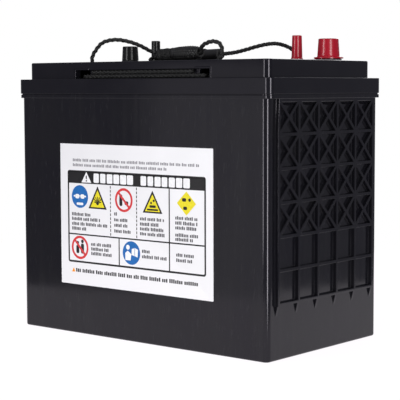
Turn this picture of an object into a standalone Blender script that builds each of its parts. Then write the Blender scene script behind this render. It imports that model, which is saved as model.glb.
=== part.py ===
"""Deep cycle battery, 12 V, six glass-mat cells in a row, with dual terminals and rope handles.

Frame: metres, +Z up, origin under the middle of the case on the surface it stands on.
The long front wall with the label faces -Y, and the positive end is at +X.
"""

import math

import bmesh
import bpy
from mathutils import Matrix, Vector

# ---------------------------------------------------------------- driving dimensions (metres)
FLANGE_LENGTH = 0.3290
FLANGE_WIDTH = 0.1825
END_OVERHANG = 0.0039  # flange and lip beyond the end walls
SIDE_OVERHANG = 0.00085  # flange beyond the long walls
DECK_TOP = 0.2750
FLANGE_TOP = 0.2580
FLANGE_BOTTOM = 0.2433
DECK_INSET = 0.0082
GAP = 0.0003  # clearance between pieces that touch

CASE_LENGTH = FLANGE_LENGTH - 2 * END_OVERHANG
CASE_WIDTH = FLANGE_WIDTH - 2 * SIDE_OVERHANG
CASE_TOP = FLANGE_BOTTOM - GAP
CASE_CORNER = 0.0055
FLANGE_CORNER = 0.0060
CASE_WALL = 0.0032
CASE_FLOOR = 0.0035
PARTITION = 0.0020
CELLS = 6
CELL_LENGTH = (CASE_LENGTH - 2 * CASE_WALL - (CELLS - 1) * PARTITION) / CELLS
CELL_PITCH = CELL_LENGTH + PARTITION
CELL_WIDTH = CASE_WIDTH - 2 * CASE_WALL

LIP_TOP = 0.2423
LIP_BOTTOM = 0.2388
LIP_SIDE = 0.0004  # how far the lip stands out of the long walls

# ribbed pattern on the end walls: square cells, the upper ones crossed
RIB_PITCH = 0.0309
RIB_WIDTH = 0.0030
RIB_HEIGHT = 0.0036
RIB_COLUMNS = 5
PLAIN_ROWS = 2
CROSSED_ROWS = 4
LOWEST_BAR = 0.0522
RIB_RUNOUT = 0.0110

LID_WALL = 0.0030
DECK_LENGTH = FLANGE_LENGTH - 2 * DECK_INSET
DECK_WIDTH = FLANGE_WIDTH - 2 * DECK_INSET
DECK_FACE_Y = DECK_WIDTH / 2
DECK_UNDERSIDE = DECK_TOP - LID_WALL

ROPE = 0.0038  # rope diameter
HOLE_X = 0.0830
HOLE_Y = 0.0642
HOLE_RADIUS = 0.0026
SLOT_END = 0.0877
SLOT_BOTTOM = FLANGE_TOP + 0.0003
SLOT_TOP = SLOT_BOTTOM + 2 * ROPE + 0.0009
SLOT_DEPTH = 0.0046
WINDOW = 0.0162

TERMINAL_Y = 0.0457
POST_X = 0.1322
STUD_X = 0.0943
PAD_BOTTOM = DECK_TOP + GAP
PAD_TOP = 0.2766
PAD_POST_RADIUS = 0.0130
PAD_STUD_RADIUS = 0.0085
STEM_RADIUS = 0.0070
STUD_RADIUS = 0.0037
STUD_TOP = 0.2982

COVER_LENGTH = 0.2960
COVER_WIDTH = 0.0260
COVER_THICKNESS = 0.0022
VALVE_RADIUS = 0.0058

STRAP_BOTTOM = 0.2000
STRAP_THICKNESS = 0.0080
WELD_Z = 0.2200
WELD_RADIUS = 0.0057

POSITIVE_PLATES = 5
POSITIVE_PLATE = 0.0030
NEGATIVE_PLATE = 0.0024
MAT = 0.0014
PLATE_BOTTOM = CASE_FLOOR + 0.0020
PLATE_TOP = 0.1860
PLATE_WIDTH = 0.1640

LABEL_CENTRE = (-0.0027, 0.1217)
LABEL_SIZE = (0.2015, 0.1427)
LABEL_THICKNESS = 0.00035
LABEL_CORNER = 0.0008

GRIP_LENGTH = 0.0850
GRIP_AXIS_Z = 0.2825
GRIP_BORE = 0.0024
FRONT_GRIP_START = Vector((-0.0250, -0.0240, GRIP_AXIS_Z))
REAR_GRIP_START = Vector((0.0300, 0.0040, GRIP_AXIS_Z))
FRONT_GRIP_HEADING = Vector((0.0790, -0.0320, 0.0)).normalized()
REAR_GRIP_HEADING = -FRONT_GRIP_HEADING
CORE_REACH = 0.0015  # how far the rope inside the grip shows past each end
SQUARE_END = 0.0012  # last straight bit of a free stretch
KNOT_RADIUS = 0.0062
WINDING_RADIUS = 0.0068
SLEEVE_RADIUS = 0.0049
SLEEVE_LENGTH = 0.0330

PART = "deep_cycle_battery"


# ---------------------------------------------------------------- scene set-up
for old in list(bpy.data.objects):
    bpy.data.objects.remove(old, do_unlink=True)

parts = bpy.data.collections.new(PART)
cutters = bpy.data.collections.new("cutters")
bpy.context.scene.collection.children.link(parts)
bpy.context.scene.collection.children.link(cutters)

root = bpy.data.objects.new("battery_frame", None)
parts.objects.link(root)


def material(name, colour, roughness, metallic=0.0):
    """A Principled material with the piece's own colour."""
    made = bpy.data.materials.new(name)
    made.use_nodes = True
    shader = made.node_tree.nodes["Principled BSDF"]
    shader.inputs["Base Color"].default_value = (*colour, 1.0)
    shader.inputs["Roughness"].default_value = roughness
    shader.inputs["Metallic"].default_value = metallic
    return made


POLYPROPYLENE = ((0.016, 0.016, 0.018), 0.38)
VENT_PLASTIC = ((0.020, 0.020, 0.022), 0.45)
RUBBER = ((0.012, 0.012, 0.012), 0.70)
LEAD = ((0.30, 0.31, 0.33), 0.50, 0.9)
POSITIVE_PASTE = ((0.10, 0.035, 0.020), 0.85)
NEGATIVE_PASTE = ((0.16, 0.17, 0.18), 0.80)
GLASS_MAT = ((0.80, 0.80, 0.78), 0.90)
STEEL = ((0.55, 0.56, 0.58), 0.30, 1.0)
RED_CAP = ((0.62, 0.015, 0.045), 0.35)
BLACK_CAP = ((0.022, 0.022, 0.024), 0.40)
LABEL_STOCK = ((0.86, 0.86, 0.87), 0.45)
GRIP_PLASTIC = ((0.018, 0.018, 0.018), 0.45)
BRAID = ((0.015, 0.015, 0.016), 0.85)


# ---------------------------------------------------------------- modelling helpers
def place(name, mesh, look=None, home=None):
    """A new object in the world frame; a piece gets its material, a cutter is hidden."""
    obj = bpy.data.objects.new(name, mesh)
    if look is None:
        cutters.objects.link(obj)
        obj.hide_render = True
        obj.display_type = "WIRE"
        return obj
    parts.objects.link(obj)
    mesh.materials.clear()
    mesh.materials.append(material(name, *look))
    obj.parent = home or root
    if home is not None:
        obj.matrix_parent_inverse = home.matrix_world.inverted()
    return obj


def mesh_from(bm, name):
    """Write a bmesh out with its faces pointing outwards."""
    bmesh.ops.recalc_face_normals(bm, faces=bm.faces)
    mesh = bpy.data.meshes.new(name)
    bm.to_mesh(mesh)
    bm.free()
    return mesh


def add_box(bm, low, high):
    """A box between two corners."""
    low, high = Vector(low), Vector(high)
    size = high - low
    made = bmesh.ops.create_cube(bm, size=1.0, matrix=Matrix.Translation((low + high) / 2)
                                 @ Matrix.Diagonal((*size, 1.0)))
    return made["verts"]


def add_cylinder(bm, centre, radius, low, high, sides=20, top_radius=None):
    """An upright cylinder or cone between two heights."""
    top_radius = radius if top_radius is None else top_radius
    middle = Matrix.Translation((centre[0], centre[1], (low + high) / 2))
    bmesh.ops.create_cone(bm, cap_ends=True, segments=sides, radius1=radius, radius2=top_radius,
                          depth=high - low, matrix=middle)


def boxes(name, corners):
    """One mesh of separate boxes."""
    bm = bmesh.new()
    for low, high in corners:
        add_box(bm, low, high)
    return mesh_from(bm, name)


def cylinders(name, centres, radius, low, high, sides=20):
    """One mesh of separate upright cylinders."""
    bm = bmesh.new()
    for centre in centres:
        add_cylinder(bm, centre, radius, low, high, sides)
    return mesh_from(bm, name)


def rounded_block(name, length, width, low, high, corner, segments=3, top=0.0, bottom=0.0):
    """A block centred on the axis with rounded upright corners, and rounded edges if asked."""
    bm = bmesh.new()
    add_box(bm, (-length / 2, -width / 2, low), (length / 2, width / 2, high))
    upright = [e for e in bm.edges if abs(e.verts[0].co.z - e.verts[1].co.z) > (high - low) / 2]
    bmesh.ops.bevel(bm, geom=upright, offset=corner, segments=segments, profile=0.5,
                    affect="EDGES", clamp_overlap=True)
    for level, radius in ((high, top), (low, bottom)):
        if radius:
            rim = [e for e in bm.edges if all(abs(v.co.z - level) < 1e-6 for v in e.verts)]
            bmesh.ops.bevel(bm, geom=rim, offset=radius, segments=2, profile=0.5,
                            affect="EDGES", clamp_overlap=True)
    return mesh_from(bm, name)


def boolean(obj, operation, tool):
    """Join or cut with another mesh."""
    step = obj.modifiers.new(tool.name, "BOOLEAN")
    step.operation = operation
    step.solver = "EXACT"
    step.object = tool


def join(obj, name, mesh):
    boolean(obj, "UNION", place(name, mesh))


def cut(obj, name, mesh):
    boolean(obj, "DIFFERENCE", place(name, mesh))


def turned(name, profile, look, location=(0, 0, 0), sides=20, home=None):
    """A body of revolution about its own Z axis; the profile runs down the outer side."""
    mesh = bpy.data.meshes.new(name)
    count = len(profile)
    closed = profile[0][0] > 1e-6
    links = [(i, i + 1) for i in range(count - 1)] + ([(count - 1, 0)] if closed else [])
    mesh.from_pydata([(r, 0.0, z) for r, z in profile], links, [])
    obj = place(name, mesh, look, home)
    obj.location = location
    screw = obj.modifiers.new("turn", "SCREW")
    screw.axis = "Z"
    screw.steps = sides
    screw.render_steps = sides
    screw.use_merge_vertices = True
    screw.merge_threshold = 0.00005
    screw.use_smooth_shade = True
    return obj


def smooth_points(route, spacing):
    """Points at an even spacing along a Catmull-Rom curve through the route."""
    stops = [Vector(p) for p in route]
    stops = [2 * stops[0] - stops[1]] + stops + [2 * stops[-1] - stops[-2]]
    fine = []
    for a, b, c, d in zip(stops, stops[1:], stops[2:], stops[3:]):
        for step in range(24):
            t = step / 24
            fine.append(0.5 * (2 * b + (c - a) * t + (2 * a - 5 * b + 4 * c - d) * t ** 2
                               + (3 * b - a - 3 * c + d) * t ** 3))
    fine.append(stops[-2])
    run = [0.0]
    for p, q in zip(fine, fine[1:]):
        run.append(run[-1] + (q - p).length)
    count = max(2, round(run[-1] / spacing) + 1)
    points = []
    i = 0
    for k in range(count):
        at = run[-1] * k / (count - 1)
        while i < len(run) - 2 and run[i + 1] < at:
            i += 1
        share = (at - run[i]) / max(run[i + 1] - run[i], 1e-9)
        points.append(fine[i].lerp(fine[i + 1], min(1.0, share)))
    return points


def rope(name, points, home=None):
    """A length of rope: a round tube along the points, closed at both ends."""
    curve = bpy.data.curves.new(name, "CURVE")
    curve.dimensions = "3D"
    curve.bevel_depth = ROPE / 2
    curve.bevel_resolution = 2
    curve.use_fill_caps = True
    line = curve.splines.new("POLY")
    line.points.add(len(points) - 1)
    for point, co in zip(line.points, points):
        point.co = (*co, 1.0)
    return place(name, curve, BRAID, home)


def cell_x(cell):
    """Middle of a cell, counted 0 to 5 from the negative end."""
    return (cell - (CELLS - 1) / 2) * CELL_PITCH


# ---------------------------------------------------------------- case
def lattice_outlines():
    """The openings between the ribs, as outlines in (across, up), about the wall's middle line."""
    half = RIB_WIDTH / 2
    crossing = half * math.sqrt(2)
    outlines = []
    for row in range(PLAIN_ROWS + CROSSED_ROWS):
        low = LOWEST_BAR + row * RIB_PITCH + half
        high = low + RIB_PITCH - RIB_WIDTH
        for column in range(RIB_COLUMNS):
            middle = (column - (RIB_COLUMNS - 1) / 2) * RIB_PITCH
            reach = (RIB_PITCH - RIB_WIDTH) / 2
            centre = Vector((middle, (low + high) / 2))
            if row < PLAIN_ROWS:
                outlines.append([centre + Vector(c) * reach for c in
                                 ((-1, -1), (1, -1), (1, 1), (-1, 1))])
                continue
            for quarter in range(4):
                turn = Matrix.Rotation(quarter * math.pi / 2, 2)
                corners = ((0, -crossing), (-(reach - crossing), -reach), (reach - crossing, -reach))
                outlines.append([centre + turn @ Vector(c) for c in corners])
    return outlines


def end_ribs(name, side):
    """The ribs of one end wall: a slab against the wall with the openings cut through it."""
    half_span = RIB_COLUMNS * RIB_PITCH / 2 + RIB_WIDTH / 2
    wall = side * CASE_LENGTH / 2
    near, far = sorted((wall - side * 0.0010, wall + side * RIB_HEIGHT))
    slab = place(name, boxes(name, [((near, -half_span, LOWEST_BAR - RIB_WIDTH / 2),
                                     (far, half_span, LIP_BOTTOM + 0.0010))]))
    bm = bmesh.new()
    for outline in lattice_outlines():
        face = bm.faces.new([bm.verts.new((near - 0.002, across, up)) for across, up in outline])
        drawn = bmesh.ops.extrude_face_region(bm, geom=[face])
        moved = [v for v in drawn["geom"] if isinstance(v, bmesh.types.BMVert)]
        bmesh.ops.translate(bm, verts=moved, vec=(far - near + 0.004, 0, 0))
    cut(slab, f"{name}_openings", mesh_from(bm, f"{name}_openings"))
    return slab


def rib_runouts(name, side):
    """Short feet under the lowest bar, where the upright ribs fade into the wall."""
    bm = bmesh.new()
    wall = side * CASE_LENGTH / 2
    for rib in range(RIB_COLUMNS + 1):
        y = (rib - RIB_COLUMNS / 2) * RIB_PITCH
        foot = sorted((wall - side * 0.0010, wall + side * (RIB_HEIGHT - 0.0002)))
        verts = add_box(bm, (foot[0], y - RIB_WIDTH / 2 + 0.0001, LOWEST_BAR - RIB_RUNOUT),
                        (foot[1], y + RIB_WIDTH / 2 - 0.0001, LOWEST_BAR))
        for v in verts:
            if abs(v.co.x) > CASE_LENGTH / 2 and v.co.z < LOWEST_BAR - RIB_RUNOUT / 2:
                v.co.x = wall - side * 0.0005
    return mesh_from(bm, name)


def build_case():
    case = place("case", rounded_block("case", CASE_LENGTH, CASE_WIDTH, 0.0, CASE_TOP, CASE_CORNER,
                                       segments=4, bottom=0.0020), POLYPROPYLENE)
    join(case, "case_lip", rounded_block("case_lip", FLANGE_LENGTH, CASE_WIDTH + 2 * LIP_SIDE,
                                         LIP_BOTTOM, LIP_TOP, FLANGE_CORNER, segments=4))
    for side, end in ((1, "positive"), (-1, "negative")):
        boolean(case, "UNION", end_ribs(f"{end}_end_ribs", side))
        join(case, f"{end}_rib_runouts", rib_runouts(f"{end}_rib_runouts", side))
    rooms = []
    for cell in range(CELLS):
        x = cell_x(cell)
        rooms.append(((x - CELL_LENGTH / 2, -CELL_WIDTH / 2, CASE_FLOOR),
                      (x + CELL_LENGTH / 2, CELL_WIDTH / 2, CASE_TOP + 0.01)))
    cut(case, "cell_rooms", boxes("cell_rooms", rooms))
    bm = bmesh.new()
    for wall in range(CELLS - 1):
        across = Matrix.Translation((cell_x(wall) + CELL_PITCH / 2, link_side(wall) * TERMINAL_Y, WELD_Z))
        bmesh.ops.create_cone(bm, cap_ends=True, segments=16, radius1=WELD_RADIUS + GAP,
                              radius2=WELD_RADIUS + GAP, depth=PARTITION + 0.004,
                              matrix=across @ Matrix.Rotation(math.pi / 2, 4, "Y"))
    cut(case, "weld_holes", mesh_from(bm, "weld_holes"))


def link_side(wall):
    """Which side of the battery the link through a partition is on: it alternates."""
    return -1 if wall % 2 == 0 else 1


# ---------------------------------------------------------------- lid
def both_ways(low, high):
    """A box in the front half and its copy turned half a turn about the upright axis."""
    turned_low = (-high[0], -high[1], low[2])
    turned_high = (-low[0], -low[1], high[2])
    return [(low, high), (turned_low, turned_high)]


def window_boxes(front, back, low, high, grow=0.0):
    """Boxes at the two windows of each slot; front and back are distances from the middle."""
    found = []
    for sign in (-1, 1):
        ends = sorted((sign * (SLOT_END + grow), sign * (SLOT_END - WINDOW - grow)))
        found += both_ways((ends[0], -front, low), (ends[1], -back, high))
    return found


def build_lid():
    lid = place("lid", rounded_block("lid", FLANGE_LENGTH, FLANGE_WIDTH, FLANGE_BOTTOM, FLANGE_TOP,
                                     FLANGE_CORNER, segments=4), POLYPROPYLENE)
    join(lid, "deck", rounded_block("deck", DECK_LENGTH, DECK_WIDTH, FLANGE_BOTTOM + 0.003, DECK_TOP,
                                    FLANGE_CORNER, segments=4, top=0.0010))
    join(lid, "window_rims", boxes("window_rims", window_boxes(
        DECK_FACE_Y + 0.0004, DECK_FACE_Y - 0.003, FLANGE_TOP - 0.001, SLOT_TOP + 0.0018, 0.0018)))
    lower = []
    upper = []
    for cell in range(CELLS):
        x = cell_x(cell)
        low, high = x - CELL_LENGTH / 2, x + CELL_LENGTH / 2
        lower.append(((low, -CELL_WIDTH / 2, FLANGE_BOTTOM - 0.01),
                      (high, CELL_WIDTH / 2, FLANGE_TOP - LID_WALL)))
        limit = DECK_LENGTH / 2 - LID_WALL
        upper.append(((max(low, -limit), -DECK_WIDTH / 2 + LID_WALL, FLANGE_TOP - LID_WALL - 0.002),
                      (min(high, limit), DECK_WIDTH / 2 - LID_WALL, DECK_UNDERSIDE)))
    cut(lid, "rooms_under_flange", boxes("rooms_under_flange", lower))
    cut(lid, "rooms_under_deck", boxes("rooms_under_deck", upper))

    # solid surrounds for the slots, windows, vent wells and terminals
    slot_back = DECK_FACE_Y - SLOT_DEPTH
    window_back = HOLE_Y - 0.0040
    join(lid, "slot_surrounds", boxes("slot_surrounds", both_ways(
        (-SLOT_END - 0.0025, -DECK_FACE_Y + 0.0010, SLOT_BOTTOM - 0.0023),
        (SLOT_END + 0.0025, -slot_back + 0.0022, DECK_UNDERSIDE + 0.001))))
    join(lid, "window_surrounds", boxes("window_surrounds", window_boxes(
        slot_back + 0.002, window_back - 0.0022, SLOT_BOTTOM - 0.0022, DECK_UNDERSIDE + 0.0012, 0.0022)))
    join(lid, "vent_bed", boxes("vent_bed", [(
        (-COVER_LENGTH / 2 - 0.0028, -COVER_WIDTH / 2 - 0.003, DECK_UNDERSIDE - 0.0030),
        (COVER_LENGTH / 2 + 0.0028, COVER_WIDTH / 2 + 0.003, DECK_UNDERSIDE + 0.0014))]))
    wells = [(cell_x(cell), 0.0) for cell in range(CELLS)]
    join(lid, "well_surrounds", cylinders("well_surrounds", wells, 0.0100, 0.2590, 0.2705, 20))
    seats = [(side * POST_X, TERMINAL_Y) for side in (-1, 1)]
    join(lid, "post_bushes", cylinders("post_bushes", seats, 0.0145, 0.2640, DECK_UNDERSIDE + 0.0011, 24))
    sockets = [(side * STUD_X, TERMINAL_Y) for side in (-1, 1)]
    join(lid, "stud_sockets", cylinders("stud_sockets", sockets, 0.0110, 0.2645, DECK_UNDERSIDE + 0.0010, 20))

    # openings
    cut(lid, "slots", boxes("slots", both_ways(
        (-SLOT_END, -DECK_FACE_Y - 0.003, SLOT_BOTTOM), (SLOT_END, -slot_back, SLOT_TOP))))
    cut(lid, "windows", boxes("windows", window_boxes(
        DECK_FACE_Y + 0.0031, window_back, SLOT_BOTTOM, SLOT_TOP)))
    holes = [(sx * HOLE_X, sy * HOLE_Y) for sx in (-1, 1) for sy in (-1, 1)]
    cut(lid, "rope_holes", cylinders("rope_holes", holes, HOLE_RADIUS, SLOT_TOP - 0.001, DECK_TOP + 0.002, 16))
    recess = rounded_block("vent_recess", COVER_LENGTH + 2 * GAP, COVER_WIDTH + 2 * GAP,
                           DECK_TOP - COVER_THICKNESS - GAP, DECK_TOP + 0.002, 0.003, 3)
    cut(lid, "vent_recess", recess)
    cut(lid, "wells", cylinders("wells", wells, 0.0078, 0.2612, DECK_TOP - 0.001, 20))
    join(lid, "vent_necks", cylinders("vent_necks", wells, 0.0040, 0.2600, 0.2680, 12))
    cut(lid, "vent_bores", cylinders("vent_bores", wells, 0.0018, 0.2560, 0.2700, 12))
    cut(lid, "seal_seats", cylinders("seal_seats", seats, 0.0118, DECK_TOP - 0.0016, DECK_TOP + 0.002, 24))
    cut(lid, "post_bores", cylinders("post_bores", seats, STEM_RADIUS + GAP, 0.2620, DECK_TOP + 0.001, 20))
    cut(lid, "stud_bores", cylinders("stud_bores", sockets, 0.0080 + GAP, 0.2670, DECK_TOP + 0.001, 20))

    cover = rounded_block("vent_cover", COVER_LENGTH, COVER_WIDTH, DECK_TOP - COVER_THICKNESS, DECK_TOP, 0.0027, 3)
    place("vent_cover", cover, VENT_PLASTIC)
    # A cap valve: a round rubber cap over each neck, open below.
    neck_room = 0.0040 + GAP
    profile = [(0.0, 0.0090), (VALVE_RADIUS - 0.0010, 0.0090), (VALVE_RADIUS, 0.0080), (VALVE_RADIUS, 0.0),
               (neck_room, 0.0), (neck_room, 0.0071), (0.0, 0.0071)]
    for cell in range(CELLS):
        turned(f"relief_valve_{cell + 1}", profile, RUBBER, (cell_x(cell), 0.0, 0.2615), sides=14)


# ---------------------------------------------------------------- cells
def plate_positions():
    """Middles of the plates along X from the cell's middle: negatives outside, positives between."""
    layers = 2 * POSITIVE_PLATES + 1
    spare = CELL_LENGTH - 0.0012 - POSITIVE_PLATES * POSITIVE_PLATE - (POSITIVE_PLATES + 1) * NEGATIVE_PLATE
    space = spare / (layers - 1)
    at = -(CELL_LENGTH - 0.0012) / 2
    found = []
    for layer in range(layers):
        thickness = POSITIVE_PLATE if layer % 2 else NEGATIVE_PLATE
        found.append((at + thickness / 2, thickness))
        at += thickness + space
    return found, space


def plate_group(name, cell, layers, side, look, upright=(), riser=False):
    """Plates of one kind with their lugs, all cast into one strap.

    upright lists the ends of the cell, -1 or 1, where the strap turns up against the partition."""
    x = cell_x(cell)
    strap_y = side * TERMINAL_Y
    strap_top = STRAP_BOTTOM + STRAP_THICKNESS
    reach = CELL_LENGTH / 2 - GAP
    group = place(name, boxes(name, [((x - reach, strap_y - 0.0110, STRAP_BOTTOM),
                                      (x + reach, strap_y + 0.0110, strap_top))]), look)
    plates = []
    lugs = []
    for middle, thickness in layers:
        low, high = x + middle - thickness / 2, x + middle + thickness / 2
        plates.append(((low, -PLATE_WIDTH / 2, PLATE_BOTTOM), (high, PLATE_WIDTH / 2, PLATE_TOP)))
        lugs.append(((low + 0.0002, strap_y - 0.0080, PLATE_TOP - 0.002),
                     (high - 0.0002, strap_y + 0.0080, STRAP_BOTTOM + 0.002)))
    join(group, f"{name}_plates", boxes(f"{name}_plates", plates))
    join(group, f"{name}_lugs", boxes(f"{name}_lugs", lugs))
    walls = []
    for end in upright:
        inner, outer = sorted((x + end * reach, x + end * (reach - 0.0050)))
        walls.append(((inner, strap_y - 0.0100, strap_top - 0.002), (outer, strap_y + 0.0100, WELD_Z + 0.0110)))
    if walls:
        join(group, f"{name}_uprights", boxes(f"{name}_uprights", walls))
    if riser:
        centre = (math.copysign(POST_X, x), TERMINAL_Y)
        join(group, f"{name}_riser", cylinders(f"{name}_riser", [centre], 0.0075, strap_top - 0.002, 0.2500, 20))


def separator(name, cell, space):
    """One long glass mat folded to and fro between all the plates of a cell."""
    positions, _ = plate_positions()
    x = cell_x(cell)
    edge = PLATE_WIDTH / 2 + 0.0016
    line = []
    for i in range(len(positions) - 1):
        between = x + positions[i][0] + positions[i][1] / 2 + space / 2
        ends = (-edge, edge) if i % 2 == 0 else (edge, -edge)
        line += [(between, ends[0]), (between, ends[1])]
    bm = bmesh.new()
    lower = [bm.verts.new((px, py, PLATE_BOTTOM - 0.0010)) for px, py in line]
    rail = [bm.edges.new(pair) for pair in zip(lower, lower[1:])]
    lifted = bmesh.ops.extrude_edge_only(bm, edges=rail)
    raised = [v for v in lifted["geom"] if isinstance(v, bmesh.types.BMVert)]
    bmesh.ops.translate(bm, verts=raised, vec=(0, 0, PLATE_TOP + 0.0030 - PLATE_BOTTOM))
    mesh = bpy.data.meshes.new(name)
    bm.to_mesh(mesh)
    bm.free()
    mat = place(name, mesh, GLASS_MAT)
    thick = mat.modifiers.new("thickness", "SOLIDIFY")
    thick.thickness = MAT
    thick.offset = 0.0
    thick.use_even_offset = True


def build_cells():
    positions, space = plate_positions()
    negatives = positions[0::2]
    positives = positions[1::2]
    for cell in range(CELLS):
        x = cell_x(cell)
        # the positive strap meets the next cell's negative strap through the partition between them
        positive_side = link_side(cell) if cell < CELLS - 1 else 1
        negative_side = link_side(cell - 1) if cell > 0 else 1
        plate_group(f"cell_{cell + 1}_positive_group", cell, positives, positive_side, POSITIVE_PASTE,
                    upright=(1,) if cell < CELLS - 1 else (), riser=cell == CELLS - 1)
        plate_group(f"cell_{cell + 1}_negative_group", cell, negatives, negative_side, NEGATIVE_PASTE,
                    upright=(-1,) if cell > 0 else (), riser=cell == 0)
        separator(f"cell_{cell + 1}_separator", cell, space)
        if cell < CELLS - 1:
            bm = bmesh.new()
            bmesh.ops.create_cone(bm, cap_ends=True, segments=16, radius1=WELD_RADIUS, radius2=WELD_RADIUS,
                                  depth=PARTITION, matrix=Matrix.Rotation(math.pi / 2, 4, "Y"))
            weld = place(f"intercell_weld_{cell + 1}", mesh_from(bm, "weld"), LEAD)
            weld.location = (x + CELL_PITCH / 2, link_side(cell) * TERMINAL_Y, WELD_Z)


# ---------------------------------------------------------------- terminals
def build_terminal(sign, side, post_top, cap):
    """A lead casting with a tapered post, a pad and a socket for the stud, and its pieces."""
    post_x, stud_x = side * POST_X, side * STUD_X
    name = f"{sign}_terminal"
    bm = bmesh.new()
    add_cylinder(bm, (post_x, TERMINAL_Y), PAD_POST_RADIUS, PAD_BOTTOM, PAD_TOP, 24)
    casting = place(name, mesh_from(bm, name), LEAD)
    span = sorted((post_x, stud_x))
    join(casting, f"{name}_bridge", boxes(f"{name}_bridge", [(
        (span[0], TERMINAL_Y - 0.0078, PAD_BOTTOM + 0.00005), (span[1], TERMINAL_Y + 0.0078, PAD_TOP - 0.00005))]))
    join(casting, f"{name}_stud_end", cylinders(f"{name}_stud_end", [(stud_x, TERMINAL_Y)], PAD_STUD_RADIUS,
                                                PAD_BOTTOM + 0.0001, PAD_TOP, 20))
    join(casting, f"{name}_stud_block", cylinders(f"{name}_stud_block", [(stud_x, TERMINAL_Y)], 0.0080,
                                                  0.2673, PAD_TOP - 0.001, 20))
    join(casting, f"{name}_stem", cylinders(f"{name}_stem", [(post_x, TERMINAL_Y)], STEM_RADIUS,
                                            0.2503, PAD_TOP - 0.001, 20))
    bm = bmesh.new()
    add_cylinder(bm, (post_x, TERMINAL_Y), cap["bottom"] - cap["wall"] - 0.0004, PAD_TOP - 0.001, post_top, 24,
                 top_radius=cap["top"] - cap["wall"] - 0.0004)
    join(casting, f"{name}_post", mesh_from(bm, f"{name}_post"))
    cut(casting, f"{name}_stud_hole", cylinders(f"{name}_stud_hole", [(stud_x, TERMINAL_Y)], STUD_RADIUS + GAP,
                                                0.2690, PAD_TOP + 0.002, 16))

    seal = [(0.0115, 0.0012), (0.0115, 0.0), (STEM_RADIUS + GAP, 0.0), (STEM_RADIUS + GAP, 0.0012)]
    turned(f"{sign}_seal", seal, RUBBER, (post_x, TERMINAL_Y, DECK_TOP - 0.0013), sides=20)
    stud = [(0.0, STUD_TOP - 0.2693), (STUD_RADIUS - 0.0008, STUD_TOP - 0.2693),
            (STUD_RADIUS, STUD_TOP - 0.2693 - 0.0010), (STUD_RADIUS, 0.0), (0.0, 0.0)]
    turned(f"{sign}_stud", stud, STEEL, (stud_x, TERMINAL_Y, 0.2693), sides=16)


def build_caps(sign, side, look, post, stud):
    """Soft caps that push over the post and the stud; each stands on the pad."""
    base = PAD_TOP + GAP
    height = post["z"] - base
    rim = post.get("rim", post["bottom"] + 0.0008)
    profile = [(0.0, height), (post["top"] - 0.0006, height), (post["top"], height - 0.0006),
               (post["bottom"], post["rim_height"]), (rim, post["rim_height"] - 0.0003), (rim, 0.0),
               (post["bottom"] - post["wall"], 0.0), (post["top"] - post["wall"], height - post["wall"]),
               (0.0, height - post["wall"])]
    turned(f"{sign}_post_cap", profile, look, (side * POST_X, TERMINAL_Y, base), sides=24)
    height = stud["z"] - base
    inner = STUD_RADIUS + GAP
    profile = [(0.0, height), (stud["top"] - 0.0005, height), (stud["top"], height - 0.0005),
               (stud["bottom"], 0.0012), (stud["bottom"] + 0.0007, 0.0010), (stud["bottom"] + 0.0007, 0.0),
               (inner, 0.0), (inner, height - 0.0010), (0.0, height - 0.0010)]
    turned(f"{sign}_stud_cap", profile, look, (side * STUD_X, TERMINAL_Y, base), sides=18)


# ---------------------------------------------------------------- rope handles
def grip_profile():
    """Half section of the hand grip along its axis: sleeve, ring and swelling barrel."""
    ring_end = SLEEVE_LENGTH + 0.0040
    outer = [(0.0040, 0.0), (SLEEVE_RADIUS, 0.0010), (SLEEVE_RADIUS, SLEEVE_LENGTH), (0.0056, SLEEVE_LENGTH + 0.0004),
             (0.0056, ring_end), (0.0062, ring_end + 0.0020), (0.0068, 0.0500), (0.0070, 0.0600),
             (0.0068, 0.0700), (0.0060, 0.0800), (0.0050, GRIP_LENGTH)]
    return list(reversed(outer)) + [(GRIP_BORE, 0.0), (GRIP_BORE, GRIP_LENGTH)]


def grip_ends(start, heading):
    """The two ends of the rope that runs through a grip, each with the outward direction."""
    finish = start + heading * GRIP_LENGTH
    return (start - heading * CORE_REACH, -heading), (finish + heading * CORE_REACH, heading)


def free_stretch(route, end):
    """Points of a free stretch of rope: straight out of its hole, and squarely onto `end`."""
    meeting, outward = end
    out_of_hole = Vector(route[0]) + Vector((0, 0, SQUARE_END))
    square = meeting + outward * (GAP + SQUARE_END)
    middle = smooth_points([out_of_hole] + route[1:] + [square], 2.0 * ROPE)
    return [Vector(route[0])] + middle + [meeting + outward * GAP]


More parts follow.
